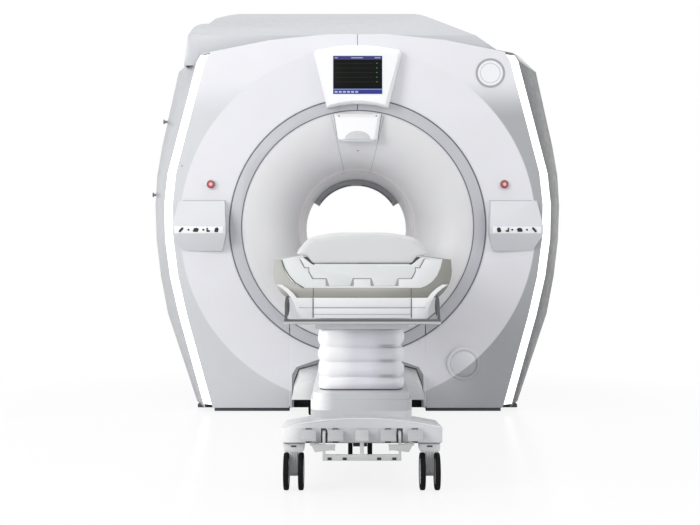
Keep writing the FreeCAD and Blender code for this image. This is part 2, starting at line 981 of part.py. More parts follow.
def body_coil():
    """A birdcage: two end rings joined by even rungs."""
    half = s.coil_length / 2
    cage = tube("coil_cage", COIL_SIDES, s.coil_inner, s.gradient_inner - s.fit_gap, -half, half)
    ring_start = half - s.coil_ring_width
    reach = s.vessel_bore
    opening = round_bore("coil_opening", COIL_SIDES, [(-ring_start, reach), (ring_start, reach)])
    star = doc.addObject("PartDesign::Body", "coil_star")
    bar = [(-reach, -s.rung_width / 2), (reach, -s.rung_width / 2)]
    bar += [(reach, s.rung_width / 2), (-reach, s.rung_width / 2)]
    pad = star.newObject("PartDesign::Pad", "coil_bar")
    pad.Profile = sketched(star, "XZ_Plane", bar)
    bind(pad, Length=half * 2)
    spokes = star.newObject("PartDesign::PolarPattern", "coil_spokes")
    spokes.Originals = [pad]
    spokes.Axis = (next(f for f in star.Origin.OriginFeatures if f.Role == "Y_Axis"), [""])
    spokes.Angle = 180 - 180 / COIL_BARS
    spokes.Occurrences = COIL_BARS
    star.Tip = spokes
    place(star, 0, half, s.bore_height)
    rungs = common("coil_rungs", cage, star)
    return fuse("body_coil", cut("coil_rings", cage, opening), rungs)


def base_frame():
    """Two rails and three cross beams that carry the magnet, with toe strips below the covers."""
    beams = []
    half = s.vessel_length / 2
    beam = s.rail_outer - s.rail_inner
    rail_end = back - s.toe_depth - s.toe_inset
    toe = 0, s.skirt_height - s.fit_gap
    flank = s.edge_base + s.light_width + s.flare_base - s.toe_inset * 2
    for side in (-1, 1):
        x = sorted((s.rail_inner * side, s.rail_outer * side), key=number)
        beams.append(box(f"rail_{side:+d}", x, (-rail_end, rail_end), (0, s.frame_height)))
        x = sorted((s.seam_offset * side, (s.edge_base - s.toe_inset) * side), key=number)
        for end in (-1, 1):
            y = sorted((rail_end * end, (rail_end + s.toe_depth) * end), key=number)
            beams.append(box(f"toe_{side:+d}{end:+d}", x, y, toe))
            x_link = sorted((s.rail_outer * side, flank * side), key=number)
            y_link = sorted(((half - beam) * end, half * end), key=number)
            beams.append(box(f"toe_link_{side:+d}{end:+d}", x_link, y_link, toe))
        x = sorted(((flank - s.toe_depth) * side, flank * side), key=number)
        beams.append(box(f"toe_side_{side:+d}", x, (-half, half), toe))
    for name, y in (("front", -half), ("middle", beam / -2), ("rear", half - beam)):
        x = (-s.rail_inner, s.rail_inner)
        beams.append(box(f"cross_{name}", x, (y, y + beam), (0, s.frame_height)))
    node("base_frame", fuse("base_frame", *beams))


def service_turret():
    """The neck on top of the magnet that holds the cold head, with its flange."""
    top = s.turret_top
    flange = s.flange_thick * 2
    start = s.bore_height + s.vessel_radius / 2

    def drum(name, radius, low, high):
        return prism(name, NECK_SIDES, radius, high - low, (-s.turret_offset, 0, low), "z")

    half = s.vessel_length / 2
    radius = s.vessel_radius + s.fit_gap
    vessel = round_bore("turret_seat", COIL_SIDES, [(-half, radius), (half, radius)])
    neck = cut("turret_neck", drum("turret_body", s.turret_radius, start, top - flange), vessel)
    plate = drum("turret_plate", s.turret_flange, top - flange, top)
    node("service_turret", fuse("service_turret", neck, plate))
    head = s.cold_head_radius
    tall = s.cold_head_height
    node("cold_head", fuse(
        "cold_head",
        drum("cold_foot", head * 1.5, top, top + s.flange_thick),
        drum("cold_stage", head * 0.8, top + s.flange_thick, top + tall * 2 / 3),
        drum("cold_motor", head, top + tall * 2 / 3, top + tall),
    ))


def bore_bridge():
    """The hollow beam along the bottom of the bore, with two rails for the cradle."""
    start = front - s.bridge_nose
    length = s.bridge_end + s.bridge_nose
    radius = s.bore_radius - s.fit_gap
    wall = s.bridge_wall
    reach = s.bore_radius
    round_bar = rod("bridge_round", radius, length, (0, start, s.bore_height), "y")
    y = start, start + length
    below = box("bridge_below", (-reach, reach), y, (s.bore_height - reach, s.bridge_top))
    hollow_bar = rod("bridge_hollow", radius - wall, length, (0, start, s.bore_height), "y")
    inside = box("bridge_inside", (-reach, reach), y, (s.bore_height - reach, s.bridge_top - wall))
    beam = cut(
        "bridge_beam",
        common("bridge_solid", round_bar, below),
        common("bridge_void", hollow_bar, inside),
    )
    inner, outer = s.cradle_foot_inner, s.cradle_foot_outer
    z = s.bridge_top, s.cradle_foot - s.fit_gap
    rails = [
        box("bridge_rail_left", (-outer, -inner), y, z),
        box("bridge_rail_right", (inner, outer), y, z),
    ]
    node("bore_bridge", fuse("bore_bridge", beam, *rails))


# ---------------------------------------------------------------- front fittings


def display_outline(inset):
    top = s.display_top - inset
    side = s.display_top_half - inset
    foot = s.display_bottom + inset * 0.5
    right = [
        (s.display_bottom_half - inset, foot),
        (side - s.display_lean * s.display_round, top - s.display_round),
        (side - s.display_round, top, (side - s.display_round * 0.3, top - s.display_round * 0.3)),
    ]
    shape = mirrored(right)
    shape[3] += ((0, s.display_crown - inset),)
    shape[0] += ((0, s.bore_height + s.display_arc + inset * 0.5),)
    return shape


def display(seat_solid):
    face = front - s.display_proud
    hood = loft(
        "display_hood",
        [
            (display_outline(0), front + s.dish_depth * 1.5),
            (display_outline(0), face + s.display_bevel),
            (display_outline(s.display_bevel), face),
        ],
    )
    recess = box(
        "screen_recess", (-s.screen_half, s.screen_half),
        (face - s.bezel_depth, face + s.bezel_depth), (s.screen_bottom, s.screen_top),
    )
    node("display_housing", cut("display_housing", hood, seat_solid, recess))
    gap = s.fit_gap
    back_face = face + s.bezel_depth - gap
    screen = box(
        "display_screen", (gap - s.screen_half, s.screen_half - gap),
        (back_face - s.screen_thick, back_face), (s.screen_bottom + gap, s.screen_top - gap),
    )
    node("display_screen", screen)


def positioning_light():
    """The lamp housing in the top of the funnel, over its window."""
    gap = s.fit_gap
    reach = s.ring_outer
    flare = [(y - gap, radius - gap) for y, radius in mouth_stations()]
    behind = box("lamp_behind", (-reach, reach), (flare[0][0], flare[-1][0]), (0, s.bore_height + reach))
    wall = cut("funnel_surface", behind, round_bore("lamp_flare", BORE_SIDES, flare))
    side = s.lamp_top_half - s.lamp_bottom_half
    face = front - s.lamp_proud
    block = loft(
        "lamp_block",
        [
            (lamp_outline(side), face),
            (lamp_outline(0), face + side),
            (lamp_outline(0), front + s.dish_depth * 3),
        ],
    )
    node("light_housing", cut("light_housing", block, wall))
    half = s.lamp_bottom_half - side
    lens = box(
        "light_lens", (-half, half), (face + side, front + s.lamp_sink),
        (s.lamp_bottom - s.lens_thick, s.lamp_bottom - gap),
    )
    node("light_lens", lens)


def lamp_outline(inset):
    return mirrored([
        (s.lamp_bottom_half - inset, s.lamp_bottom),
        (s.lamp_top_half - inset, s.lamp_top - inset),
    ])


def control_panel(side, name, seat_solid):
    """A wedge that leans out to a strip of keys and falls back below it."""
    low, high = sorted((s.panel_inner * side, s.panel_outer * side), key=number)
    deep = front + s.dish_depth * 1.5
    wedge = slab(
        f"{name}_wedge", "YZ_Plane",
        [
            (deep, s.panel_bottom), (front, s.panel_bottom),
            (front - s.panel_proud, s.panel_chin), (front - s.panel_proud, s.panel_brow),
            (front, s.panel_top), (deep, s.panel_top),
        ],
        low, high,
    )
    inset = s.panel_inset
    shape = [
        (s.panel_inner + inset, s.panel_bottom), (s.panel_outer - inset * 2, s.panel_bottom),
        (s.panel_outer, s.panel_chin), (s.panel_outer, s.panel_brow),
        (s.panel_outer - inset, s.panel_top), (s.panel_inner + inset / 2, s.panel_top),
        (s.panel_inner, s.panel_brow), (s.panel_inner, s.panel_chin),
    ]
    plan = slab(f"{name}_plan", "XZ_Plane", sided(shape, side), front - s.panel_proud, deep)
    node(name, cut(name, common(f"{name}_form", wedge, plan), seat_solid))


def keypad(side, name):
    """A flat membrane strip with six raised keys: bar, dot, square, dot, dot, bar."""
    low, high = sorted(
        ((s.panel_inner + s.keypad_margin) * side, (s.panel_outer - s.keypad_margin) * side),
        key=number,
    )
    face = front - s.panel_proud - s.fit_gap - s.keypad_thick
    z = s.panel_chin + s.seam, s.panel_brow - s.seam
    strip = box(f"{name}_strip", (low, high), (face, face + s.keypad_thick), z)
    pitch = (high - low) / 6
    middle = (z[0] + z[1]) / 2
    half = s.key_size / 2
    y = face - s.key_rise
    keys = []
    for i, kind in enumerate(KEY_SHAPES):
        x = low + pitch * (i + 0.5)
        if kind == "dot":
            keys.append(prism(f"{name}_key_{i}", PIN_SIDES, half * 0.7, s.key_rise, (x, y, middle), "y"))
        else:
            wide = half if kind == "square" else half * 0.35
            tall = half if kind == "square" else half * 1.3
            key = box(f"{name}_key_{i}", (x - wide, x + wide), (y, face), (middle - tall, middle + tall))
            keys.append(key)
    node(name, fuse(name, strip, *keys))


def stop_button(side, name):
    """A mushroom head on a stem that slides in the cover, held by a collar behind it."""
    head = stop_seat - s.stop_travel - s.seam / 4
    collar = front + s.dish_depth
    chamfer = s.stop_cap / 3
    x, z = s.stop_offset * side, s.stop_height
    face = head - s.stop_cap
    cap = stack(
        f"{name}_cap", NECK_SIDES,
        [(face, s.stop_radius - chamfer), (face + chamfer, s.stop_radius), (head, s.stop_radius)],
        (x, 0, z), "y",
    )
    stem = prism(f"{name}_stem", PIN_SIDES, s.stop_stem, collar - head, (x, head, z), "y")
    keeper = prism(f"{name}_keeper", PIN_SIDES, s.stop_stem + chamfer, chamfer, (x, collar, z), "y")
    node(name, fuse(name, cap, stem, keeper))


def service_cap(seat_solid):
    """A round domed cap on the lower right of the front cover."""
    radius = s.cap_radius
    face = front - s.cap_proud
    dome = stack(
        "cap_dome", WHEEL_SIDES,
        [(face, radius - s.cap_proud * 2), (front, radius), (front + s.dish_depth, radius)],
        (s.cap_offset, 0, s.cap_height), "y",
    )
    node("service_cap", cut("service_cap", dome, seat_solid))


def dock_unit():
    """The block under the gantry whose two sockets take the table's guide pins."""
    y = front + s.dock_start, s.vessel_length / -2
    block = box("dock_block", (-s.dock_half, s.dock_half), y, (s.dock_bottom, s.dock_top))
    sockets = [
        prism(f"dock_socket_{side:+d}", PIN_SIDES, s.dock_pin_radius + s.fit_gap, y[1] - y[0],
              (s.dock_pin_offset * side, y[0], s.dock_pin_height), "y")
        for side in (-1, 1)
    ]
    node("dock_unit", cut("dock_unit", block, *sockets))


# ---------------------------------------------------------------- table top


def pad_outline(inset):
    """The patient pad's section: sides drawn in below a crowned top."""
    right = [
        (s.pad_bottom_half, s.pad_bottom),
        (s.pad_under_half - inset, s.cradle_rim + s.seam),
        (s.pad_side_half - inset, s.pad_side),
        (
            s.pad_shoulder_half - inset, s.pad_shoulder - inset,
            (
                (s.pad_side_half + s.pad_shoulder_half) / 2 + s.seam - inset,
                (s.pad_side + s.pad_shoulder) / 2 - inset / 2,
            ),
        ),
    ]
    shape = mirrored(right)
    shape[4] += ((0, s.pad_crown - inset),)
    return shape


def patient_pad():
    """A long cushion with softened ends and two crosswise channels."""
    start = foot_end + s.cradle_clear
    length = head_end - s.cradle_clear - start
    taper = s.pad_taper
    places = [(0, s.pad_crush), (taper, 0)]
    for share in (1 / 3, 2 / 3):
        middle = length * share
        places += [(middle - taper, 0), (middle, s.pad_channel), (middle + taper, 0)]
    places += [(length - taper, 0), (length, s.pad_crush)]
    node("pad", loft("pad", [(pad_outline(inset), start + y) for y, inset in places]))


def cradle_outline():
    return mirrored([
        (s.cradle_foot_inner, s.cradle_base),
        (s.cradle_foot_inner + s.foot_draft, s.cradle_foot),
        (s.cradle_foot_outer - s.foot_draft, s.cradle_foot),
        (s.cradle_foot_outer, s.cradle_base),
        (s.cradle_base_half, s.cradle_base),
        (s.cradle_body_half, s.cradle_body),
        (s.cradle_body_half, s.cradle_step),
        (s.cradle_step_half, s.cradle_step),
        (s.cradle_rim_half, s.cradle_rim),
        (s.cradle_rim_half - s.cradle_rim_wall, s.cradle_rim),
        (s.pad_bottom_half + s.cradle_clear, s.pad_bottom - s.fit_gap),
    ])


def trough_outline(grow=0):
    middle = (s.trough_half * 2 + s.trough_flat) / 3 + grow
    return [
        (s.trough_flat, s.trough_bottom - grow),
        (
            s.trough_half + grow, s.trough_rim,
            (middle, (s.trough_rim + s.trough_bottom * 2) / 3 - grow),
        ),
    ]


def table_top():
    """Cradle, the ribbed trough that it slides in, the hull round that and the white body below."""
    clear = s.cradle_clear
    node("cradle", slab("cradle", "XZ_Plane", cradle_outline(), foot_end, head_end))
    channel = [
        (s.cradle_rim_half + clear, s.trough_rim),
        (s.cradle_step_half + clear, s.cradle_step - clear),
        (s.cradle_body_half + clear, s.cradle_step - clear),
        (s.cradle_body_half + clear, s.cradle_body - clear),
        (s.cradle_base_half + clear, s.cradle_base - clear),
        (s.cradle_foot_outer + clear, s.cradle_base - clear),
        (s.cradle_foot_outer + clear, s.cradle_foot - s.fit_gap),
        (s.cradle_foot_inner - clear, s.cradle_foot - s.fit_gap),
        (s.cradle_foot_inner - clear, s.cradle_base - clear),
    ]
    trough = slab("table_trough", "XZ_Plane", mirrored(trough_outline() + channel), foot_end, head_end)
    node("table_trough", trough)
    hull_shape = mirrored([
        (s.shell_foot_half, s.shell_bottom),
        (
            s.shell_wide_half, s.shell_wide,
            ((s.shell_foot_half + s.shell_wide_half * 3) / 4, s.shell_middle),
        ),
        (s.shell_tip_half, s.shell_tip),
    ])
    hull = slab("hull", "XZ_Plane", hull_shape, foot_end, head_end)
    inside = mirrored(trough_outline(s.fit_gap))
    space = slab("hull_space", "XZ_Plane", inside, foot_end - clear, head_end + clear)
    node("table_shell", cut("table_shell", hull, space))
    table_skirt()


def table_skirt():
    """The white body below the hull, closed at the foot end, where two arms curve up the hull."""
    start = foot_end - s.arm_depth
    end = head_end - s.table_gap
    top = s.shell_bottom - s.fit_gap
    body = box("skirt_body", (-s.skirt_half, s.skirt_half), (start, end), (s.skirt_bottom, top))
    half = s.frame_half + s.fit_gap
    channel = box("skirt_channel", (-half, half), (start + s.arm_depth, end + s.arm_depth),
                  (s.skirt_bottom - s.arm_depth, s.shell_bottom))
    groove = s.seam / 2
    y = start - groove, start + groove
    lines = [
        box("skirt_line", (-s.skirt_seam, s.skirt_seam), y, (s.skirt_line - groove, s.skirt_line + groove))
    ]
    arms = []
    for side in (-1, 1):
        x = s.skirt_seam * side
        lines.append(box(f"skirt_seam_{side:+d}", (x - groove, x + groove), y, (s.skirt_bottom, top)))
        arms.append(slab(f"skirt_arm_{side:+d}", "XZ_Plane", arm_outline(side), start, foot_end - s.fit_gap))
    node("table_skirt", fuse("table_skirt", cut("skirt", body, channel, *lines), *arms))


def arm_outline(side):
    wide = s.arm_width
    outer = s.skirt_half, s.arm_middle_half, s.arm_half
    levels = s.arm_foot, s.arm_middle, s.arm_level
    (x0, x1, x2), (z0, z1, z2) = outer, levels
    shape = [
        (x0, z0), (x2, z2, (x1, z1)), (x2 - wide, z2), (x0 - wide, z0, (x1 - wide, z1)),
    ]
    return sided(shape, side)


def table_frame():
    """The box beam under the trough and the plate that the lift rams push on."""
    start = foot_end + s.bellows_wall * 10
    end = head_end - s.table_gap * 2
    half = s.frame_half
    wall = s.cover_wall
    top = s.shell_bottom - s.fit_gap
    beam = box("frame_beam", (-half, half), (start, end), (s.frame_lip, top))
    y = start - wall, end + wall
    inside = box("frame_inside", (wall - half, half - wall), y, (s.frame_lip + wall, top - wall))
    plate = box(
        "lift_plate", (-s.bellows_half, s.bellows_half), (bellows_near, bellows_far),
        (s.frame_bottom, s.frame_lip),
    )
    node("table_frame", fuse("table_frame", cut("frame_tube", beam, inside), plate))


def push_handle():
    """The chrome bar across the foot end, on two brackets."""
    y = foot_end - s.handle_reach
    radius = s.handle_radius
    half = s.handle_half
    bar = prism("handle_bar", PIN_SIDES, radius, half * 2, (-half, y, s.handle_level), "x")
    top = s.shell_bottom - s.fit_gap
    seat_y = foot_end + s.bracket_seat
    side_profile = [
        (seat_y, top - radius), (seat_y, top), (foot_end, top),
        (y - radius, s.handle_level + radius), (y - radius, s.handle_level - radius),
        (y + radius, s.handle_level - radius), (foot_end + radius, top - radius * 4),
    ]
    brackets = []
    for side in (-1, 1):
        middle = s.bracket_offset * side
        wide = s.bracket_width / 2
        brackets.append(
            slab(f"handle_bracket_{side:+d}", "YZ_Plane", side_profile, middle - wide, middle + wide)
        )
    node("push_handle", fuse("push_handle", bar, *brackets))


# ---------------------------------------------------------------- lift


def rounded(half_width, low, high, radius):
    """A rounded rectangle across X and along Y."""
    corner = radius * (1 - math.sqrt(0.5))
    return [
        (half_width - radius, low),
        (half_width, low + radius, (half_width - corner, low + corner)),
        (half_width, high - radius),
        (half_width - radius, high, (half_width - corner, high - corner)),
        (radius - half_width, high),
        (-half_width, high - radius, (corner - half_width, high - corner)),
        (-half_width, low + radius),
        (radius - half_width, low, (corner - half_width, low + corner)),
    ]


def flat_section(name, corners, z):
    sketch = doc.addObject("Sketcher::SketchObject", name)
    draw(sketch, corners, CORNER_CHORDS)
    return place(sketch, 0, 0, z)


def bellows_skin(name, inset):
    """Bulges stacked up the lift: each runs neck, belly, belly, neck."""
    bottom = s.bellows_bottom + s.fit_gap
    pitch = (s.frame_bottom - s.bellows_bottom - s.fit_gap * 2) / BULGES
    levels = [(0, False)]
    for i in range(BULGES):
        levels += [(i + 0.3, True), (i + 0.7, True), (i + 1, False)]
    sections = []
    for i, (share, belly) in enumerate(levels):
        half = (s.bellows_half if belly else s.bellows_neck) - inset
        trim = (0 if belly else s.bellows_half - s.bellows_neck) + inset
        shape = rounded(half, bellows_near + trim, bellows_far - trim, s.bellows_round - inset)
        sections.append(flat_section(f"{name}_{i}", shape, bottom + pitch * share))
    return skinned(name, sections)


def lift():
    """Two telescopic columns inside the bellows."""
    outer = bellows_skin("bellows_outside", 0)
    inner = bellows_skin("bellows_inside", s.bellows_wall)
    node("bellows", cut("bellows", outer, inner))
    columns = []
    bores = []
    rams = []
    flange = s.chassis_top + s.fit_gap
    reach = s.column_flange
    floor = s.column_bottom + s.flange_thick
    for i in range(2):
        y = front - s.column_first - s.column_pitch * i
        columns.append(prism(f"column_{i}", NECK_SIDES, s.column_radius, s.column_top - s.column_bottom,
                             (0, y, s.column_bottom), "z"))
        columns.append(box(f"column_flange_{i}", (-reach, reach), (y - reach, y + reach),
                           (flange, flange + s.flange_thick)))
        bores.append(prism(f"column_bore_{i}", NECK_SIDES, s.column_bore, s.column_top - floor,
                           (0, y, floor), "z"))
        rams.append(rod(f"ram_{i}", s.column_bore - s.running_gap, s.frame_bottom - s.ram_bottom,
                        (0, y, s.ram_bottom), "z"))
    node("lift_column", cut("lift_column", fuse("lift_columns", *columns), *bores))
    node("lift_ram", fuse("lift_ram", *rams))


# ---------------------------------------------------------------- dolly


def hood_outline(inset=0, fall=0):
    """The hood's section: its crown falls from the front edge to its rear end."""
    shape = mirrored([
        (s.hood_half - inset, s.hood_edge - inset * 2),
        (s.hood_half - inset, s.hood_side - fall - inset),
    ])
    shape[2] += ((0, s.hood_crown - fall - inset),)
    return shape


def nose_outline(inset=0, rear=1):
    """The nose's section at the gantry, or at its lower and narrower near end."""
    drop = 0 if rear else s.nose_drop
    near = 0 if rear else s.nose_taper
    shape = mirrored([
        (s.nose_half - inset, s.nose_edge - inset * 2),
        (s.nose_half - near - inset, s.nose_side),
        (s.nose_shoulder_half - near - inset, s.nose_shoulder - drop - inset),
    ])
    shape[3] += ((0, s.nose_crown - drop - inset),)
    return shape


def tower_outline(inset=0):
    low = front - s.tower_start - s.tower_length + inset
    return rounded(s.tower_half - inset, low, front - s.tower_start - inset, s.tower_round - inset)


def dolly_cover():
    """One moulding: the hood, the tower under the bellows, the spine and the docking nose."""
    wall = s.hood_wall
    half = s.tower_half
    hood_far = hood_end + s.hood_length
    nose_start = front + s.nose_reach - s.nose_length
    nose_end = front + s.nose_reach
    plate = s.bellows_bottom - s.plate_thick
    hood = loft("hood", [(hood_outline(), hood_end), (hood_outline(0, s.hood_fall), hood_far)])
    spine = box("spine", (-half, half), (hood_far - wall, nose_start + wall), (s.hood_edge, s.spine_top))
    nose = loft("nose", [(nose_outline(0, 0), nose_start), (nose_outline(), nose_end)])
    tower = slab("tower", "XY_Plane", tower_outline(), s.spine_top, plate)
    top = slab("tower_plate", "XY_Plane", tower_outline(s.plate_inset), plate, s.bellows_bottom)
    body = fuse("dolly_body", hood, spine, nose, tower, top)
    hood_space = loft(
        "hood_space",
        [(hood_outline(wall), hood_end + wall), (hood_outline(wall, s.hood_fall), hood_far - wall)],
    )
    spine_space = box("spine_space", (wall - half, half - wall), (hood_far - wall * 2, nose_end + wall),
                      (s.hood_edge - wall * 2, s.spine_top - wall))
    nose_space = loft(
        "nose_space",
        [(nose_outline(wall, 0), nose_start + wall), (nose_outline(wall), nose_end + wall)],
    )
    tower_space = slab("tower_space", "XY_Plane", tower_outline(wall), s.hood_edge, plate - wall)
    well = slab(
        "lift_well", "XY_Plane",
        rounded(s.bellows_neck - s.well_rim, bellows_near + s.bellows_half - s.well_rim,
                bellows_far - s.bellows_half + s.well_rim, s.bellows_round),
        s.hood_edge, s.bellows_bottom + wall,
    )
    wide = s.pedal_thick + s.seam
    y = hood_end - wall, hood_end + wall * 2
    z = s.hood_edge - wall, s.pedal_top + s.seam
    notches = [
        box(f"arm_notch_{i}", (x - wide, x + wide), y, z)
        for i, x in enumerate(pedal_places() + [-s.bar_arm, s.bar_arm])
    ]
    spaces = [hood_space, spine_space, nose_space, tower_space, well]
    node("dolly_cover", cut("dolly_cover", body, *spaces, *notches))


def pedal_places():
    first = s.pedal_first
    second = s.pedal_first + s.pedal_pitch
    return [-second, -first, first, second]


def dolly_frame():
    """The steel chassis: rails, cross members, steering fork, pedal shaft and guide pins."""
    z = s.chassis_bottom, s.chassis_top
    inner = s.chassis_rail
    outer = s.chassis_rail + s.chassis_rail_width
    near = front - s.caster_near_reach
    far = front - s.caster_far_reach
    half = s.cross_width / 2
    pieces = []
    holes = []
    for side in (-1, 1):
        x = sorted((inner * side, outer * side), key=number)
        pieces.append(box(f"chassis_rail_{side:+d}", x, (near - half, far + half), z))
    wide = s.hood_half - s.hood_wall - s.fit_gap
    pieces.append(box("near_cross", (-wide, wide), (near - half, near + half), z))
    wide = s.caster_far_offset + half
    pieces.append(box("far_cross", (-wide, wide), (far - half, far + half), z))
    for i in range(2):
        y = front - s.column_first - s.column_pitch * i
        reach = s.column_flange + s.flange_thick
        pieces.append(box(f"column_cross_{i}", (-outer, outer), (y - reach, y + reach), z))
        hole = s.column_radius + s.fit_gap
        holes.append(prism(f"column_hole_{i}", NECK_SIDES, hole, z[1] - z[0], (0, y, z[0]), "z"))
    for place_name, (x, y) in caster_places().items():
        radius = s.king_radius + s.running_gap
        holes.append(prism(f"king_hole_{place_name}", PIN_SIDES, radius, z[1] - z[0], (x, y, z[0]), "z"))
    frame = cut("chassis", fuse("chassis_solid", *pieces), *holes)
    node("dolly_frame", fuse("dolly_frame", frame, *steering_fork(), *pedal_shaft(), *guide_pins()))


def steering_fork():
    """The cross beam and the leg that the steering wheel's axle turns in."""
    y = front - s.steer_reach
    half = s.cross_width / 2
    outer = s.chassis_rail + s.chassis_rail_width
    leg = s.steer_width / 2 - s.tyre_width - s.seam / 2
    cross = box("steer_cross", (-outer, outer), (y - half, y + half), (s.chassis_bottom, s.chassis_top))
    legs = box("steer_leg", (-leg, leg), (y - half / 2, y + half / 2),
               (s.wheel_radius - half / 2, s.chassis_bottom))
    bore = prism("steer_bore", PIN_SIDES, s.axle_radius + s.running_gap, leg * 2,
                 (-leg, y, s.wheel_radius), "x")
    return [cross, cut("steer_fork", legs, bore)]


def pedal_shaft():
    """The pedals' shaft, held at its two ends by ears that stand on the near cross member."""
    y = front - s.pedal_shaft_reach
    level = s.pedal_shaft_level
    radius = s.pedal_shaft_radius
    ear = s.seam * 1.5
    end = s.pedal_first + s.pedal_pitch + s.pedal_width * 0.7 - ear
    pieces = [rod("pedal_shaft", radius, end * 2, (-end, y, level), "x")]
    for side in (-1, 1):
        x = sorted((end * side, (end + ear) * side), key=number)
        z = s.chassis_bottom, level + radius
        pieces.append(box(f"pedal_ear_{side:+d}", x, (y - radius, y + radius * 2), z))
    return pieces


def guide_pins():
    """The plate and the two pins that enter the gantry's docking unit."""
    far = front - s.caster_far_reach + s.cross_width / 2
    plate = s.flange_thick
    wide = s.dock_pin_offset + s.dock_pin_radius * 1.25
    low = s.dock_pin_height - s.dock_pin_radius * 1.5
    pieces = [box("dock_plate", (-wide, wide), (far - plate, far), (low, s.chassis_top))]
    length = s.vessel_length / -2 - s.fit_gap * 20 - far
    for side in (-1, 1):
        x = s.dock_pin_offset * side
        pieces.append(prism(f"dock_pin_{side:+d}", PIN_SIDES, s.dock_pin_radius, length,
                            (x, far, s.dock_pin_height), "y"))
    return pieces


def caster_places():
    near = front - s.caster_near_reach
    far = front - s.caster_far_reach
    return {
        "near_left": (-s.caster_near_offset, near),
        "near_right": (s.caster_near_offset, near),
        "far_left": (-s.caster_far_offset, far),
        "far_right": (s.caster_far_offset, far),
    }


def wheel_pair(name, x, y, width):
    """Two wheels pressed on one axle, a gap between them for the leg that the axle turns in."""
    radius = s.wheel_radius
    inner = width / 2 - s.tyre_width
    wheels = [
        prism(f"{name}_{side:+d}", WHEEL_SIDES, radius, s.tyre_width,
              (x + start, y, radius), "x")
        for side, start in ((-1, width / -2), (1, inner))
    ]
    axle = rod(f"{name}_axle", s.axle_radius, inner * 2, (x - inner, y, radius), "x")
    node(name, fuse(name, axle, *wheels))


def caster(name, x, y):
    """A swivel caster: king pin, crown, one middle leg and a pair of wheels behind it."""
    top = s.chassis_bottom - s.fit_gap
    crown = prism(f"{name}_crown", PIN_SIDES, s.crown_radius, s.flange_thick,
                  (x, y, top - s.flange_thick), "z")
    king = rod(f"{name}_king", s.king_radius, s.king_length, (x, y, top), "z")
    wheel_y = y - s.caster_trail
    boss = s.axle_radius * 2.4
    half = s.caster_width / 2 - s.tyre_width - s.seam / 2
    leg = slab(
        f"{name}_leg", "YZ_Plane",
        [
            (wheel_y - boss, s.wheel_radius), (wheel_y - boss / 2, s.wheel_radius - boss),
            (wheel_y + boss / 2, s.wheel_radius - boss), (wheel_y + boss, s.wheel_radius),
            (y + s.crown_radius * 0.9, top - s.flange_thick),
            (y - s.crown_radius * 0.9, top - s.flange_thick),
        ],
        x - half, x + half,
    )
    bore = prism(f"{name}_bore", PIN_SIDES, s.axle_radius + s.running_gap, half * 2,
                 (x - half, wheel_y, s.wheel_radius), "x")
    fork = fuse(f"{name}_fork", crown, king, cut(f"{name}_bored_leg", leg, bore))
    node(f"caster_fork_{name}", fork)
    wheel_pair(f"caster_wheel_{name}", x, wheel_y, s.caster_width)


def tread(name, low, high):
    """The sloping foot plate that all the pedals share, from the hood's face outwards."""
    thick = s.pedal_thick
    start = hood_end - thick
    toe = hood_end - s.pedal_reach
    return slab(
        name, "YZ_Plane",
        [
            (start, s.pedal_top), (toe, s.pedal_toe), (toe, s.pedal_toe - thick),
            (toe + thick, s.pedal_toe - thick), (start, s.pedal_top - thick * 1.2),
        ],
        low, high,
    )


def hub(name, low, high):
    y = front - s.pedal_shaft_reach
    start = (low, y, s.pedal_shaft_level)
    return prism(name, PIN_SIDES, s.pedal_hub_radius, high - low, start, "x")


def pedal(name, x):
    """A foot plate on an arm that turns on the shaft inside the hood."""
    half = s.pedal_width / 2
    y = front - s.pedal_shaft_reach
    level = s.pedal_shaft_level
    thick = s.pedal_thick
    arm = slab(
        f"{name}_arm", "YZ_Plane",
        [
            (y, level - thick), (y, level + thick),
            (hood_end - thick, s.pedal_top), (hood_end - thick, s.pedal_top - thick * 2),
        ],
        x - thick, x + thick,
    )
    plate = tread(f"{name}_plate", x - half, x + half)
    wide = half * 0.6
    solid = fuse(f"{name}_solid", plate, arm, hub(f"{name}_hub", x - wide, x + wide))
    bore = prism(f"{name}_bore", PIN_SIDES, s.pedal_shaft_radius + s.running_gap, wide * 2,
                 (x - wide, y, level), "x")
    node(name, cut(name, solid, bore))


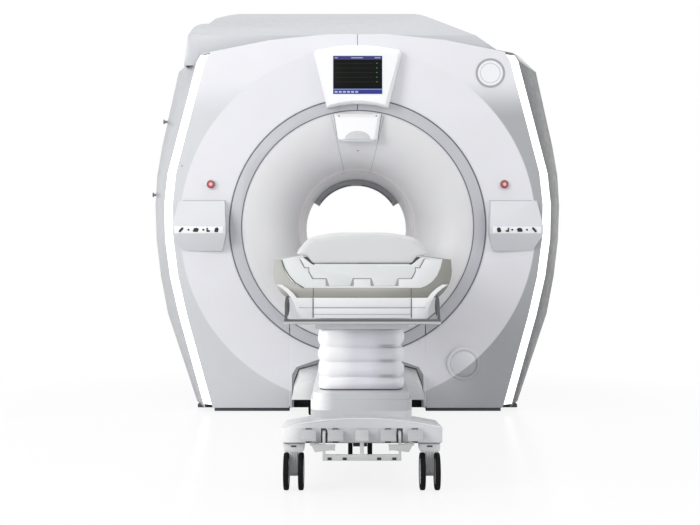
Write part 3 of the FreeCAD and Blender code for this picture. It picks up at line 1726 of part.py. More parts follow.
def foot_bar():
    """The wide brake bar below the pedals: two arms, wings, a cross plate and a middle tread."""
    y = front - s.pedal_shaft_reach
    level = s.pedal_shaft_level
    thick = s.pedal_thick
    face = hood_end - thick * 3.5
    rear = hood_end - thick * 2
    pieces = []
    bores = []
    for side in (-1, 1):
        x = s.bar_arm * side
        low, high = x - thick * 0.7, x + thick * 0.7
        pieces.append(slab(
            f"bar_arm_{side:+d}", "YZ_Plane",
            [
                (y, level - thick), (y, level + thick), (rear, level + thick / 4),
                (face, level - thick * 2), (face, s.bar_bottom), (rear, s.bar_bottom),
                (rear, level - thick * 2),
            ],
            low, high,
        ))
        pieces.append(hub(f"bar_hub_{side:+d}", x - thick, x + thick))
        bores.append(prism(f"bar_bore_{side:+d}", PIN_SIDES, s.pedal_shaft_radius + s.running_gap,
                           thick * 2, (x - thick, y, level), "x"))
        wing = [
            (s.bar_elbow_half, s.bar_elbow_level - thick), (s.bar_wing_half, s.bar_wing_level - thick * 1.6),
            (s.bar_wing_half, s.bar_wing_level), (s.bar_elbow_half, s.bar_elbow_level + thick),
        ]
        pieces.append(slab(f"bar_wing_{side:+d}", "XZ_Plane", sided(wing, side), face, rear))
    pieces.append(box("bar_plate", (-s.bar_arm - thick * 0.7, s.bar_arm + thick * 0.7), (face, rear),
                      (s.bar_bottom, s.bar_top)))
    pieces.append(box("bar_stem", (-thick, thick), (face, rear), (s.bar_bottom, s.pedal_toe + thick)))
    half = s.pedal_width * 0.43
    pieces.append(tread("bar_tread", -half, half))
    node("foot_bar", cut("foot_bar", fuse("bar_solid", *pieces), *bores))


# ---------------------------------------------------------------- build and write


stop_ring = hypotenuse(s.stop_offset, s.stop_height - s.bore_height)
stop_dish = s.dish_depth * (s.crease_radius - stop_ring) / (s.crease_radius - s.ring_outer - s.seam)
stop_seat = front + stop_dish - s.cover_wall
bellows_near = front - s.bellows_start - s.bellows_length
bellows_far = front - s.bellows_start
hood_end = foot_end + s.hood_start


def build():
    base_frame()
    magnet()
    service_turret()
    bore_parts()
    bore_bridge()
    front_covers()
    trim_ring()
    edge_lights()
    flank = side_covers()
    rear_cover()
    roof_cover(flank)
    seat_solid = seat("seat")
    display(seat_solid)
    positioning_light()
    for side, word in ((-1, "left"), (1, "right")):
        control_panel(side, f"control_panel_{word}", seat_solid)
        keypad(side, f"keypad_{word}")
        stop_button(side, f"stop_button_{word}")
    service_cap(seat_solid)
    dock_unit()
    table_top()
    patient_pad()
    table_frame()
    push_handle()
    lift()
    dolly_cover()
    dolly_frame()
    for name, (x, y) in caster_places().items():
        caster(name, x, y)
    wheel_pair("steering_wheel", 0, front - s.steer_reach, s.steer_width)
    names = "pedal_lower", "pedal_raise", "pedal_dock", "pedal_undock"
    for name, x in zip(names, pedal_places()):
        pedal(name, x)
    foot_bar()


def check():
    for piece in doc.Objects:
        if "Invalid" in piece.State or "Error" in piece.State:
            raise RuntimeError(f"{piece.Label} failed: {piece.State}")
    for label, piece in nodes.items():
        shape = piece.Shape
        if shape.isNull() or not shape.isValid() or not shape.Solids:
            raise RuntimeError(f"{label} has no sound solid")


def write():
    os.makedirs("parts", exist_ok=True)
    for label, piece in nodes.items():
        piece.Shape.exportStep(f"parts/{label}.step")
    print(len(nodes), "parts")


build()
doc.recompute()
check()
write()
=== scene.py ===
import math

import bmesh
import bpy
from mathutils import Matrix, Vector, noise

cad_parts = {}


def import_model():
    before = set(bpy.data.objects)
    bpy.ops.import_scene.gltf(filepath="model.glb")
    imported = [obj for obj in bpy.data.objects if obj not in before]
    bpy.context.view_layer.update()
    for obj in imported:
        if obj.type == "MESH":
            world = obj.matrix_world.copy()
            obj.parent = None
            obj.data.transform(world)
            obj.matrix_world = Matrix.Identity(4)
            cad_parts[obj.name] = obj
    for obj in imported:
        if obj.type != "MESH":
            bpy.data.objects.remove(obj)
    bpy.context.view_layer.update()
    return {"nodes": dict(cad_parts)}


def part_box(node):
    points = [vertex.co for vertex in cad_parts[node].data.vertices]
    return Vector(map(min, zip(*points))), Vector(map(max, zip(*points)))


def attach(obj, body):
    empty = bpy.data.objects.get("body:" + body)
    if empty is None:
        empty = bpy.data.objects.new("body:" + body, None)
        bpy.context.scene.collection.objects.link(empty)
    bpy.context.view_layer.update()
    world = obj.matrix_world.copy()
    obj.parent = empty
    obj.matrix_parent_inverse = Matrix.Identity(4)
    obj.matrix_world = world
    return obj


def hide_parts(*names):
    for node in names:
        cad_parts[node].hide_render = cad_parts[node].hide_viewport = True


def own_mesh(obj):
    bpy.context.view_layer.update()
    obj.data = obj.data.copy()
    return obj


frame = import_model()
nodes = frame["nodes"]

# Places of the model that the pieces here are set by, in metres
FRONT = -0.875
BORE_Z = 1.091
BORE_R = 0.350
AXIS = (0.0, 0.0, BORE_Z)
THROAT_Y = -0.495
MOUTH_Y = -0.835
MOUTH_R = 0.686
RING_FACE = -0.839
RING_INNER = 0.690
RING_OUTER = 0.758
CREASE_R = 1.050
DISH_Y = -0.835
DISH_R = 0.762
DISH_SLOPE = (DISH_Y - FRONT) / (CREASE_R - DISH_R)
SEAM_X = 0.403
STOP_X, STOP_Z = 0.867, 1.340
KEY_Z = 1.0695
KEY_Y = (-0.9601, -0.9575)
HOOKS_Y = (-0.5755, -0.5455)
HOOKS_Z = ((1.274, 1.306), (1.724, 1.756))
HULL_PLATE_Y = (-3.2368, -3.2346)
WHEEL_R = 0.075
TYRE_HALF = 0.0105
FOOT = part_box("cradle")[0].y
HOOD_FACE = FOOT + 0.110
BRACKET_Y = FOOT - 0.0470
BRACKET_Z = 0.6975
BAR_Z = 0.6870
PAD_LOW, PAD_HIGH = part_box("pad")
PAD_CHANNELS = [PAD_LOW.y + (PAD_HIGH.y - PAD_LOW.y) * i / 3 for i in (1, 2)]
BELLOWS_LOW, BELLOWS_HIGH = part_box("bellows")
BELLOWS_LEVELS = (BELLOWS_LOW.z, 0.423, 0.487, 0.550, BELLOWS_HIGH.z)
SIDES = {-1: "left", 1: "right"}
CASTERS = ("near_left", "near_right", "far_left", "far_right")

# The body that a piece rides on, and the slot of its material
ON_COVER = ("gantry", "cover_silver")
ON_TRIM = ("gantry", "trim_grey")
IN_BORE = ("gantry", "bore_white")
ON_TABLE = ("table", "shell_grey")
ON_CRADLE = ("patient", "pad_vinyl")


# -------------------- shader tools


def tool(tree, kind, inputs, **settings):
    """One shader node, with its settings and its inputs as values or sockets."""
    made = tree.nodes.new(kind)
    for name, value in settings.items():
        setattr(made, name, value)
    for key, value in inputs.items():
        if isinstance(value, bpy.types.NodeSocket):
            tree.links.new(value, made.inputs[key])
        else:
            made.inputs[key].default_value = value
    return made


def maths(tree, operation, *values):
    return tool(tree, "ShaderNodeMath", dict(enumerate(values)), operation=operation).outputs[0]


def times(tree, one, other):
    return maths(tree, "MULTIPLY", one, other)


def ramp(tree, value, low, high, to_low=0.0, to_high=1.0):
    """Value from low to high becomes to_low to to_high, smoothly."""
    sizes = {"Value": value, "From Min": low, "From Max": high, "To Min": to_low, "To Max": to_high}
    return tool(tree, "ShaderNodeMapRange", sizes, interpolation_type="SMOOTHSTEP").outputs["Result"]


def mix(tree, share, one, other):
    return tool(tree, "ShaderNodeMix", {0: share, 6: one, 7: other}, data_type="RGBA").outputs[2]


def linear(colour):
    """sRGB 0 to 255 as a linear colour."""
    def one(v):
        v /= 255
        return v / 12.92 if v <= 0.04045 else ((v + 0.055) / 1.055) ** 2.4
    return tuple(one(v) for v in colour) + (1.0,)


def place_of(tree):
    """The point on the surface, in metres, and its x, y and z."""
    point = tree.nodes.new("ShaderNodeTexCoord").outputs["Object"]
    split = tool(tree, "ShaderNodeSeparateXYZ", {0: point})
    return point, split.outputs[0], split.outputs[1], split.outputs[2]


def speckle(tree, point, scale, detail=2.0, stretch=None):
    if stretch:
        point = tool(tree, "ShaderNodeMapping", {"Vector": point, "Scale": stretch}).outputs[0]
    return tool(tree, "ShaderNodeTexNoise", {"Vector": point, "Scale": scale, "Detail": detail}).outputs[0]


def inside(tree, value, low, high):
    """1 where a value lies between low and high, and 0 elsewhere."""
    above = maths(tree, "GREATER_THAN", value, low)
    return times(tree, above, maths(tree, "LESS_THAN", value, high))


def window(tree, place, x, z):
    """1 in a rectangle seen along y."""
    return times(tree, inside(tree, place[1], *x), inside(tree, place[3], *z))


def distance_from(tree, place, centre, axis):
    """How far the surface is from a line along an axis, in metres."""
    squares = []
    for i, word in enumerate("xyz"):
        if word != axis:
            off = maths(tree, "SUBTRACT", place[i + 1], centre[i])
            squares.append(times(tree, off, off))
    return maths(tree, "SQRT", maths(tree, "ADD", *squares))


def blank(name):
    made = bpy.data.materials.new(name)
    made.use_nodes = True
    return made, made.node_tree, made.node_tree.nodes["Principled BSDF"]


def finish_of(name, colour, rough=0.4, drift=0.03, grain=900.0, depth=0.00008, metallic=0.0, coat=0.0,
              sheen=0.0, stretch=None, paint=None, rough_drift=0.06, relief=None, metal=None):
    """A moulded, painted or metal surface: slow drift of colour and gloss, and a fine grain.

    paint(tree, place, base) gives the colour, relief(tree, place) a height in metres and
    metal(tree, place) how metallic it is, where these are given."""
    made, tree, shader = blank(name)
    place = place_of(tree)
    point = place[0]
    slow = speckle(tree, point, 2.3, 3.0)
    dark_tone = tuple(c * (1 - drift) for c in linear(colour)[:3]) + (1.0,)
    light_tone = tuple(min(1.0, c * (1 + drift)) for c in linear(colour)[:3]) + (1.0,)
    base = mix(tree, ramp(tree, slow, 0.35, 0.65), dark_tone, light_tone)
    if paint:
        base = paint(tree, place, base)
    tree.links.new(base, shader.inputs["Base Color"])
    patch = speckle(tree, point, 23.0, 3.0, stretch)
    gloss = ramp(tree, patch, 0.3, 0.7, rough - rough_drift, rough + rough_drift)
    tree.links.new(gloss, shader.inputs["Roughness"])
    height = times(tree, speckle(tree, point, grain, 3.0, stretch), depth)
    if relief:
        height = maths(tree, "ADD", height, relief(tree, place))
    bump = tool(tree, "ShaderNodeBump", {"Height": height, "Distance": 1.0, "Strength": 1.0})
    tree.links.new(bump.outputs[0], shader.inputs["Normal"])
    for key, value in (("Metallic", metallic), ("Coat Weight", coat), ("Sheen Weight", sheen)):
        shader.inputs[key].default_value = value
    if metal:
        tree.links.new(metal(tree, place), shader.inputs["Metallic"])
    return made


def lit(name, colour, strength):
    """A lamp's diffuser, a little dimmer in patches of its length."""
    made, tree, shader = blank(name)
    patch = speckle(tree, place_of(tree)[0], 4.0)
    shader.inputs["Base Color"].default_value = linear(colour)
    shader.inputs["Roughness"].default_value = 0.35
    shader.inputs["Emission Color"].default_value = linear(colour)
    tree.links.new(ramp(tree, patch, 0.3, 0.7, strength * 0.97, strength * 1.03),
                   shader.inputs["Emission Strength"])
    return made


# -------------------- meshes


def smooth_below(degrees):
    """A node group that shades smooth below an angle and sharp above it."""
    group = bpy.data.node_groups.new(f"smooth_below_{degrees}", "GeometryNodeTree")
    group.interface.new_socket("Geometry", in_out="INPUT", socket_type="NodeSocketGeometry")
    group.interface.new_socket("Geometry", in_out="OUTPUT", socket_type="NodeSocketGeometry")
    start = group.nodes.new("NodeGroupInput")
    end = group.nodes.new("NodeGroupOutput")
    faces = tool(group, "GeometryNodeSetShadeSmooth", {0: start.outputs[0]}, domain="FACE")
    edges = tool(group, "GeometryNodeSetShadeSmooth", {0: faces.outputs[0]}, domain="EDGE")
    angle = group.nodes.new("GeometryNodeInputMeshEdgeAngle")
    limits = {0: angle.outputs[0], 1: math.radians(degrees)}
    below = tool(group, "FunctionNodeCompare", limits, operation="LESS_THAN")
    group.links.new(below.outputs[0], edges.inputs["Shade Smooth"])
    group.links.new(edges.outputs[0], end.inputs[0])
    return group


SMOOTH = smooth_below(32)
CREASED = smooth_below(7)
BEADED = smooth_below(60)


def shade(obj, group=SMOOTH):
    obj.modifiers.new("Shade", "NODES").node_group = group
    return obj


def round_edges(obj, width, segments=2):
    bevel = obj.modifiers.new("Edge", "BEVEL")
    bevel.width = width
    bevel.segments = segments
    bevel.limit_method = "ANGLE"
    bevel.angle_limit = math.radians(28)


def dress(name, material, width=0.0015, segments=2, group=SMOOTH):
    """Finish a CAD node: merged corners, whole flat faces, rounded edges, smooth curves."""
    obj = nodes[name]
    obj.data.materials.clear()
    obj.data.materials.append(material)
    if "custom_normal" in obj.data.attributes:
        obj.data.attributes.remove(obj.data.attributes["custom_normal"])
    obj.modifiers.new("Weld", "WELD").merge_threshold = 0.00005
    flat = obj.modifiers.new("Flat", "DECIMATE")
    flat.decimate_type = "DISSOLVE"
    flat.angle_limit = math.radians(0.3)
    if width:
        round_edges(obj, width, segments)
    shade(obj, group)


def placed(name, data):
    """A new object in the scene."""
    obj = bpy.data.objects.new(name, data)
    bpy.context.scene.collection.objects.link(obj)
    return obj


def piece(name, points, faces, material, body, slot):
    """A mesh with its faces turned outwards, on a body; its slot is not used."""
    mesh = bpy.data.meshes.new(name)
    mesh.from_pydata([tuple(p) for p in points], [], faces)
    bm = bmesh.new()
    bm.from_mesh(mesh)
    bmesh.ops.recalc_face_normals(bm, faces=bm.faces)
    bm.to_mesh(mesh)
    bm.free()
    mesh.materials.append(material)
    obj = placed(name, mesh)
    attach(obj, body)
    return obj


def grid_faces(rows, columns, wrap_rows=False):
    """The faces between rows of points, each row closed on itself."""
    faces = []
    for i in range(rows if wrap_rows else rows - 1):
        for j in range(columns):
            across = (j + 1) % columns
            down = (i + 1) % rows * columns
            faces.append((i * columns + j, i * columns + across, down + across, down + j))
    return faces


def end_faces(rows, columns):
    """The two faces that close a run of rows."""
    return [tuple(range(columns)), tuple(range((rows - 1) * columns, rows * columns))[::-1]]


def spun(name, profile, centre, axis, material, body, slot, steps=72, sweep=None):
    """A closed profile of (along, radius) turned about an axis, or over a sweep in degrees."""
    start, end = sweep or (0.0, 360.0)
    count = steps + 1 if sweep else steps
    points = []
    for i in range(count):
        angle = math.radians(start + (end - start) * i / steps)
        cos, sin = math.cos(angle), math.sin(angle)
        for along, radius in profile:
            spot = {"x": (along, radius * cos, radius * sin), "y": (radius * sin, along, radius * cos),
                    "z": (radius * cos, radius * sin, along)}[axis]
            points.append([c + o for c, o in zip(centre, spot)])
    columns = len(profile)
    faces = grid_faces(count, columns, wrap_rows=not sweep)
    if sweep:
        faces += end_faces(count, columns)
    return shade(piece(name, points, faces, material, body, slot))


def oval(x, z, wide, tall, turns):
    """Points of an ellipse, or of a part of one, at these turns."""
    return [(x + wide * math.cos(turn), z + tall * math.sin(turn)) for turn in turns]


def bead(along, radius, size, count=8):
    """The profile of a round bead."""
    return oval(along, radius, size, size, [2 * math.pi * k / count for k in range(count)])


def band(low, high, inner, outer, edge=0.0008):
    """The profile of a flat ring with its edges taken off."""
    return [(low + edge, inner), (high - edge, inner), (high, inner + edge), (high, outer - edge),
            (high - edge, outer), (low + edge, outer), (low, outer - edge), (low, inner + edge)]


def swept(name, path, radius, material, body, slot, closed=False, sides=8):
    """A round bead along a path of points."""
    path = [Vector(p) for p in path]
    count = len(path)
    points = []
    for i, spot in enumerate(path):
        ahead = path[(i + 1) % count] if closed or i < count - 1 else spot
        behind = path[i - 1] if closed or i else spot
        along = (ahead - behind).normalized()
        side = along.cross(Vector((0, 0, 1)))
        if side.length < 0.2:
            side = along.cross(Vector((0, 1, 0)))
        side.normalize()
        up = side.cross(along)
        for k in range(sides):
            turn = 2 * math.pi * k / sides
            points.append(spot + side * (radius * math.cos(turn)) + up * (radius * math.sin(turn)))
    faces = grid_faces(count, sides, wrap_rows=closed)
    if not closed:
        faces += end_faces(count, sides)
    return shade(piece(name, points, faces, material, body, slot), BEADED)


def prism(name, outline, plane, low, high, material, body, slot, width=0.001):
    """An outline in the xz or yz plane, pulled across it from low to high, its edges rounded."""
    count = len(outline)
    points = [(u, w, v) if plane == "xz" else (w, u, v) for w in (low, high) for u, v in outline]
    faces = [tuple(range(count)), tuple(range(count, 2 * count))[::-1]]
    faces += [(i, (i + 1) % count, count + (i + 1) % count, count + i) for i in range(count)]
    obj = piece(name, points, faces, material, body, slot)
    if width:
        round_edges(obj, width)
    return shade(obj)


def block(name, x, y, z, material, body, slot, width=0.001):
    """A box between pairs of x, y and z."""
    outline = [(x[0], z[0]), (x[1], z[0]), (x[1], z[1]), (x[0], z[1])]
    return prism(name, outline, "xz", *y, material, body, slot, width)


# -------------------- finishes


def throat_rim(tree, place, base):
    """A narrow rim, a little lighter and warmer, where each funnel meets the bore."""
    radius = distance_from(tree, place, AXIS, "y")
    near = ramp(tree, radius, BORE_R + 0.003, BORE_R + 0.016, 1.0, 0.0)
    end = ramp(tree, maths(tree, "ABSOLUTE", place[2]), -THROAT_Y - 0.009, -THROAT_Y - 0.002)
    return mix(tree, times(tree, near, end), base, linear((238, 230, 231)))


def outer_band_shade(tree, place, base):
    """Painted shade: the flat band outside the dish's crease is greyer, more so to the right and less towards
    the top.
    """
    radius = distance_from(tree, place, AXIS, "y")
    share = times(tree, ramp(tree, radius, CREASE_R - 0.004, CREASE_R + 0.004),
                  ramp(tree, place[3], 1.72, 1.98, 1.0, 0.0))
    grey = mix(tree, ramp(tree, place[1], 0.3, 0.8), linear((206, 208, 212)), linear((168, 170, 173)))
    return mix(tree, share, base, grey)


def stop_face(tree, place, base):
    """A red mushroom head with a dark edge and a pale pink middle, on either side of the bore."""
    mirrored = (place[0], maths(tree, "ABSOLUTE", place[1]), *place[2:])
    radius = distance_from(tree, mirrored, (STOP_X, 0.0, STOP_Z), "y")
    rim = mix(tree, ramp(tree, radius, 0.018, 0.021), base, linear((120, 50, 50)))
    return mix(tree, ramp(tree, radius, 0.0085, 0.0105, 1.0, 0.0), rim, linear((236, 192, 188)))


def hooks_and_flank_shade(tree, place, base):
    """The two hooks on the left flank are darker than it, and the right flank is in shade."""
    low, high = (inside(tree, place[3], *span) for span in HOOKS_Z)
    hooks = times(tree, inside(tree, place[2], *HOOKS_Y), maths(tree, "ADD", high, low))
    tone = mix(tree, ramp(tree, place[1], 0.75, 0.95), base, linear((104, 106, 108)))
    return mix(tree, hooks, tone, linear((120, 122, 128)))


def hull_shade(tree, place, base):
    """Painted shade: the hull's grey deepens to the right and below."""
    low = mix(tree, ramp(tree, place[3], 0.790, 0.822, 1.0, 0.0), base, linear((160, 159, 152)))
    return mix(tree, ramp(tree, place[1], 0.02, 0.27), low, linear((140, 140, 134)))


def off_bar(tree, place):
    """1 on the handle's brackets, and 0 on the bar."""
    return maths(tree, "MAXIMUM", maths(tree, "GREATER_THAN", place[2], BRACKET_Y),
                 maths(tree, "GREATER_THAN", place[3], BRACKET_Z))


def dark_brackets_and_bar_reflection(tree, place, base):
    """The handle's brackets are dark, and its chrome bar has a painted dark reflection on its upper half."""
    upper = ramp(tree, place[3], BAR_Z - 0.0005, BAR_Z + 0.0020)
    bar = mix(tree, upper, base, linear((92, 92, 94)))
    return mix(tree, off_bar(tree, place), bar, linear((84, 85, 88)))


def bar_metal(tree, place):
    """Only the lower half of the handle's bar is metal; its upper half carries a painted dark reflection."""
    lower = maths(tree, "LESS_THAN", place[3], BAR_Z)
    return times(tree, lower, maths(tree, "SUBTRACT", 1.0, off_bar(tree, place)))


def fabric_light_and_shade(tree, place, _base):
    """Painted light and shade on the bellows: white at the left, lavender in the middle and grey at the right,
    with painted shadows in the pinches.
    """
    x, z = place[1], place[3]
    grey = mix(tree, ramp(tree, x, -0.11, -0.02), linear((252, 252, 253)), linear((228, 228, 235)))
    side = times(tree, ramp(tree, x, 0.02, 0.10), ramp(tree, x, 0.135, 0.165, 1.0, 0.0))
    grey = mix(tree, side, grey, linear((214, 215, 220)))
    reach = times(tree, ramp(tree, x, 0.055, 0.105), ramp(tree, x, 0.120, 0.160, 1.0, 0.0))
    for level in BELLOWS_LEVELS[1:]:
        off = maths(tree, "ABSOLUTE", maths(tree, "SUBTRACT", z, level + 0.004))
        pinch_shadow = times(tree, reach, ramp(tree, off, 0.001, 0.013, 0.6, 0.0))
        grey = mix(tree, pinch_shadow, grey, linear((140, 142, 148)))
    return grey


def dolly_light_and_shade(tree, place, base):
    """Painted light and shade on the dolly: a painted highlight at its left edges, and painted shade greying to
    its right.
    """
    x, z = place[1], place[3]
    tower_highlight = times(tree, ramp(tree, x, -0.178, -0.110, 1.0, 0.0), maths(tree, "GREATER_THAN", z, 0.298))
    left = maths(tree, "MAXIMUM", tower_highlight, ramp(tree, x, -0.33, -0.20, 1.0, 0.0))
    side = mix(tree, ramp(tree, z, 0.290, 0.300), linear((214, 215, 218)), linear((186, 188, 192)))
    right = mix(tree, ramp(tree, x, -0.06, 0.24), base, side)
    return mix(tree, left, right, linear((252, 252, 252)))


def ribs(tree, place):
    """Ribs across a caster's middle leg."""
    pitch, height = 0.0065, 0.0009
    wave = maths(tree, "SINE", times(tree, place[1], 2 * math.pi / pitch))
    return times(tree, wave, height)


def leather(tree, place):
    """The pebbled grain of coated fabric."""
    scale, height = 420.0, 0.00012
    cells = tool(tree, "ShaderNodeTexVoronoi", {"Vector": place[0], "Scale": scale}).outputs["Distance"]
    return times(tree, cells, height)


def screen_face():
    """The display: a title bar, five traces with a green reading each, and a footer with tabs."""
    made, tree, shader = blank("screen_glass")
    place = place_of(tree)
    low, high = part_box("display_screen")
    patch = ramp(tree, speckle(tree, place[0], 9.0), 0.3, 0.7)
    colour = mix(tree, patch, linear((4, 5, 6)), linear((8, 9, 11)))
    left, right, bottom, top = low.x, high.x, low.z, high.z

    def add(x, z, tint):
        nonlocal colour
        colour = mix(tree, window(tree, place, x, z), colour, linear(tint))

    add((left, right), (top - 0.021, top), (72, 70, 132))
    for x in ((left + 0.008, left + 0.026), (-0.038, 0.030), (right - 0.044, right - 0.010)):
        add(x, (top - 0.013, top - 0.008), (190, 192, 224))
    for i in range(5):
        z = top - 0.044 - 0.027 * i
        add((left + 0.010, right - 0.052), (z, z + 0.0018), (46, 54, 26))
        add((right - 0.036, right - 0.026), (z - 0.001, z + 0.004), (64, 130, 74))
    add((left, right), (bottom + 0.024, bottom + 0.030), (140, 156, 214))
    add((left, right), (bottom, bottom + 0.024), (58, 66, 150))
    for i in range(6):
        x = left + 0.008 + 0.024 * i
        add((x, x + 0.017), (bottom + 0.007, bottom + 0.017), (196, 204, 232))
    shader.inputs["Base Color"].default_value = linear((5, 5, 6))
    shader.inputs["Roughness"].default_value = 0.3
    shader.inputs["Specular IOR Level"].default_value = 0.12
    tree.links.new(colour, shader.inputs["Emission Color"])
    shader.inputs["Emission Strength"].default_value = 0.9
    return made


# The covers' paint, with painted shade on the flat band outside the dish's crease.
cover = finish_of("cover_paint", (228, 228, 233), rough=0.36, drift=0.012, coat=0.2, paint=outer_band_shade)
# Painted shade: the side covers are white like the front, and this darker grey on them, the roof and the back
# stands in for their shade; the right flank gets more painted shade.
flank = finish_of("flank_paint_shaded", (196, 198, 202), rough=0.38, drift=0.015, coat=0.15, paint=hooks_and_flank_shade)
housing = finish_of("housing_paint", (244, 245, 246), rough=0.38, drift=0.01, coat=0.1)
lamp_white = finish_of("lamp_paint", (248, 248, 249), rough=0.38, drift=0.008, coat=0.1)
panel = finish_of("panel_paint", (216, 217, 221), rough=0.38, drift=0.012, coat=0.1)
bore = finish_of("bore_lining", (222, 222, 224), rough=0.42, drift=0.012, paint=throat_rim)
vent = finish_of("vent_plastic", (206, 207, 210), rough=0.45, drift=0.02)
trim = finish_of("ring_trim", (190, 190, 196), rough=0.34, drift=0.015, coat=0.15)
# A pale trim colour, which also serves for painted highlights at seams, the hood's edge and the screen's bezel.
pale_trim_and_highlight = finish_of("pale_trim_and_highlight", (238, 239, 243), rough=0.34, drift=0.01, coat=0.1)
# The hull's grey, with painted shade to the right and below.
shell = finish_of("table_shell_paint", (187, 187, 183), rough=0.42, drift=0.02, paint=hull_shade)
tray = finish_of("tray_plastic", (228, 231, 231), rough=0.38, drift=0.01)
white = finish_of("table_white", (236, 237, 238), rough=0.36, drift=0.01, coat=0.1)
# The dolly's paint, with a painted highlight at its left edges and painted shade to its right.
dolly = finish_of("dolly_paint", (198, 200, 203), rough=0.34, drift=0.015, coat=0.25, paint=dolly_light_and_shade)
pedal_grip = finish_of("pedal_plastic", (190, 192, 194), rough=0.5, drift=0.02, depth=0.00015)
lever_grey = finish_of("lever_paint", (200, 201, 201), rough=0.42, drift=0.02)
alloy = finish_of("caster_alloy", (196, 198, 199), metallic=0.25, relief=ribs)
hub_grey = finish_of("hub_plastic", (196, 198, 200), rough=0.42)
tyre = finish_of("tyre_rubber", (8, 8, 9), rough=0.75, drift=0.1, depth=0.0002)
steel = finish_of("frame_steel", (88, 91, 96), rough=0.5, drift=0.05, metallic=0.5, depth=0.0002)
toe = finish_of("toe_paint", (64, 66, 71), rough=0.5, drift=0.05, depth=0.0002)
vessel = finish_of("vessel_steel", (168, 170, 172), rough=0.3, drift=0.04, metallic=0.9, stretch=(1, 14, 1))
copper = finish_of("coil_copper", (184, 115, 72), rough=0.35, drift=0.06, metallic=1.0)
resin = finish_of("coil_resin", (176, 168, 140), rough=0.5, drift=0.06)
cold = finish_of("cold_head_alloy", (180, 182, 184), rough=0.32, metallic=0.9)
polished = {"drift": 0.02, "depth": 0.00001, "rough_drift": 0.03}
chrome = finish_of("chrome", (206, 208, 210), rough=0.14, metallic=1.0, **polished)
# The handle's chrome, with dark brackets and a painted dark reflection on the bar's upper half.
handle = finish_of("handle_chrome", (206, 208, 210), rough=0.16, paint=dark_brackets_and_bar_reflection, metal=bar_metal,
                   **polished)
dark = finish_of("dark_rubber", (32, 33, 36), rough=0.55, drift=0.06)
dock_grey = finish_of("dock_grey", (150, 151, 155), rough=0.45)
plate = finish_of("lift_plate", (196, 197, 200), rough=0.42)
dark_plastic = finish_of("dark_plastic", (84, 86, 90), drift=0.05)
gasket = finish_of("gasket", (104, 104, 116), rough=0.6, drift=0.05)
soft_line = finish_of("seam_shade", (166, 166, 172), rough=0.5, drift=0.04)
stop_red = finish_of("stop_red", (176, 82, 84), rough=0.35, drift=0.04, coat=0.3, paint=stop_face)
keys = finish_of("key_membrane", (244, 245, 246), drift=0.01)
ink = finish_of("key_print", (22, 22, 25), rough=0.45, drift=0.1)
vinyl = finish_of("pad_vinyl", (214, 215, 216), rough=0.48, drift=0.015, depth=0.0, sheen=0.05, relief=leather)
# The bellows' coated fabric, with painted light and shade and painted shadows in its pinches.
bellows_vinyl = finish_of("bellows_vinyl", (234, 234, 240), rough=0.44, drift=0.012, sheen=0.05, relief=leather,
                          paint=fabric_light_and_shade)
tyre.node_tree.nodes["Principled BSDF"].inputs["Specular IOR Level"].default_value = 0.2
glow = lit("strip_light", (255, 255, 255), 1.0)
lens = lit("lamp_window", (206, 210, 214), 0.25)
glass = screen_face()


# -------------------- CAD nodes

for name in ("front_cover_left", "front_cover_right", "lower_cover"):
    dress(name, cover, 0.002, group=CREASED)
for name in ("side_cover_left", "side_cover_right", "roof_cover", "rear_cover"):
    dress(name, flank, 0.004)
for name in ("ring_left", "ring_right", "ring_bottom"):
    dress(name, trim, 0.003, 3)
dress("bore_bridge", vent, 0.001)
for side in ("left", "right"):
    dress(f"edge_light_{side}", glow, 0.001)
    dress(f"control_panel_{side}", panel, 0.008, 3)
    dress(f"keypad_{side}", keys, 0.0004)
    dress(f"stop_button_{side}", stop_red, 0.002, 3)
dress("display_housing", housing, 0.004, 3)
dress("display_screen", glass, 0.0005)
dress("light_housing", lamp_white, 0.004, 3)
dress("light_lens", lens, 0.0005)
dress("service_cap", cover, 0.002)
dress("dock_unit", dock_grey, 0.002)
dress("base_frame", toe, 0.002)
dress("magnet_vessel", vessel, 0.004)
dress("gradient_coil", resin, 0.002)
dress("body_coil", copper, 0.0008)
dress("service_turret", vessel, 0.002)
dress("cold_head", cold, 0.002)
for name, material in (("cradle", tray), ("table_trough", tray), ("table_shell", shell),
                       ("table_skirt", white), ("table_frame", plate)):
    dress(name, material)
dress("push_handle", handle, 0.001)
dress("dolly_cover", dolly, 0.004, 3)
dress("dolly_frame", steel, 0.001)
dress("lift_column", steel, 0.001)
dress("lift_ram", chrome, 0.0005)
for place_name in CASTERS:
    dress(f"caster_fork_{place_name}", alloy, 0.001)
for name in ("pedal_lower", "pedal_raise", "pedal_dock", "pedal_undock"):
    dress(name, pedal_grip)
dress("foot_bar", lever_grey)


# -------------------- bore and funnels


def flare(turn, inset=0.0):
    """The funnel's curve: (y, radius) at a turn from 0 at the ring to 90 degrees at the throat."""
    angle = math.radians(turn)
    long = THROAT_Y - MOUTH_Y - inset
    tall = MOUTH_R - BORE_R - inset
    return THROAT_Y - long * math.cos(angle), MOUTH_R - tall * math.sin(angle)


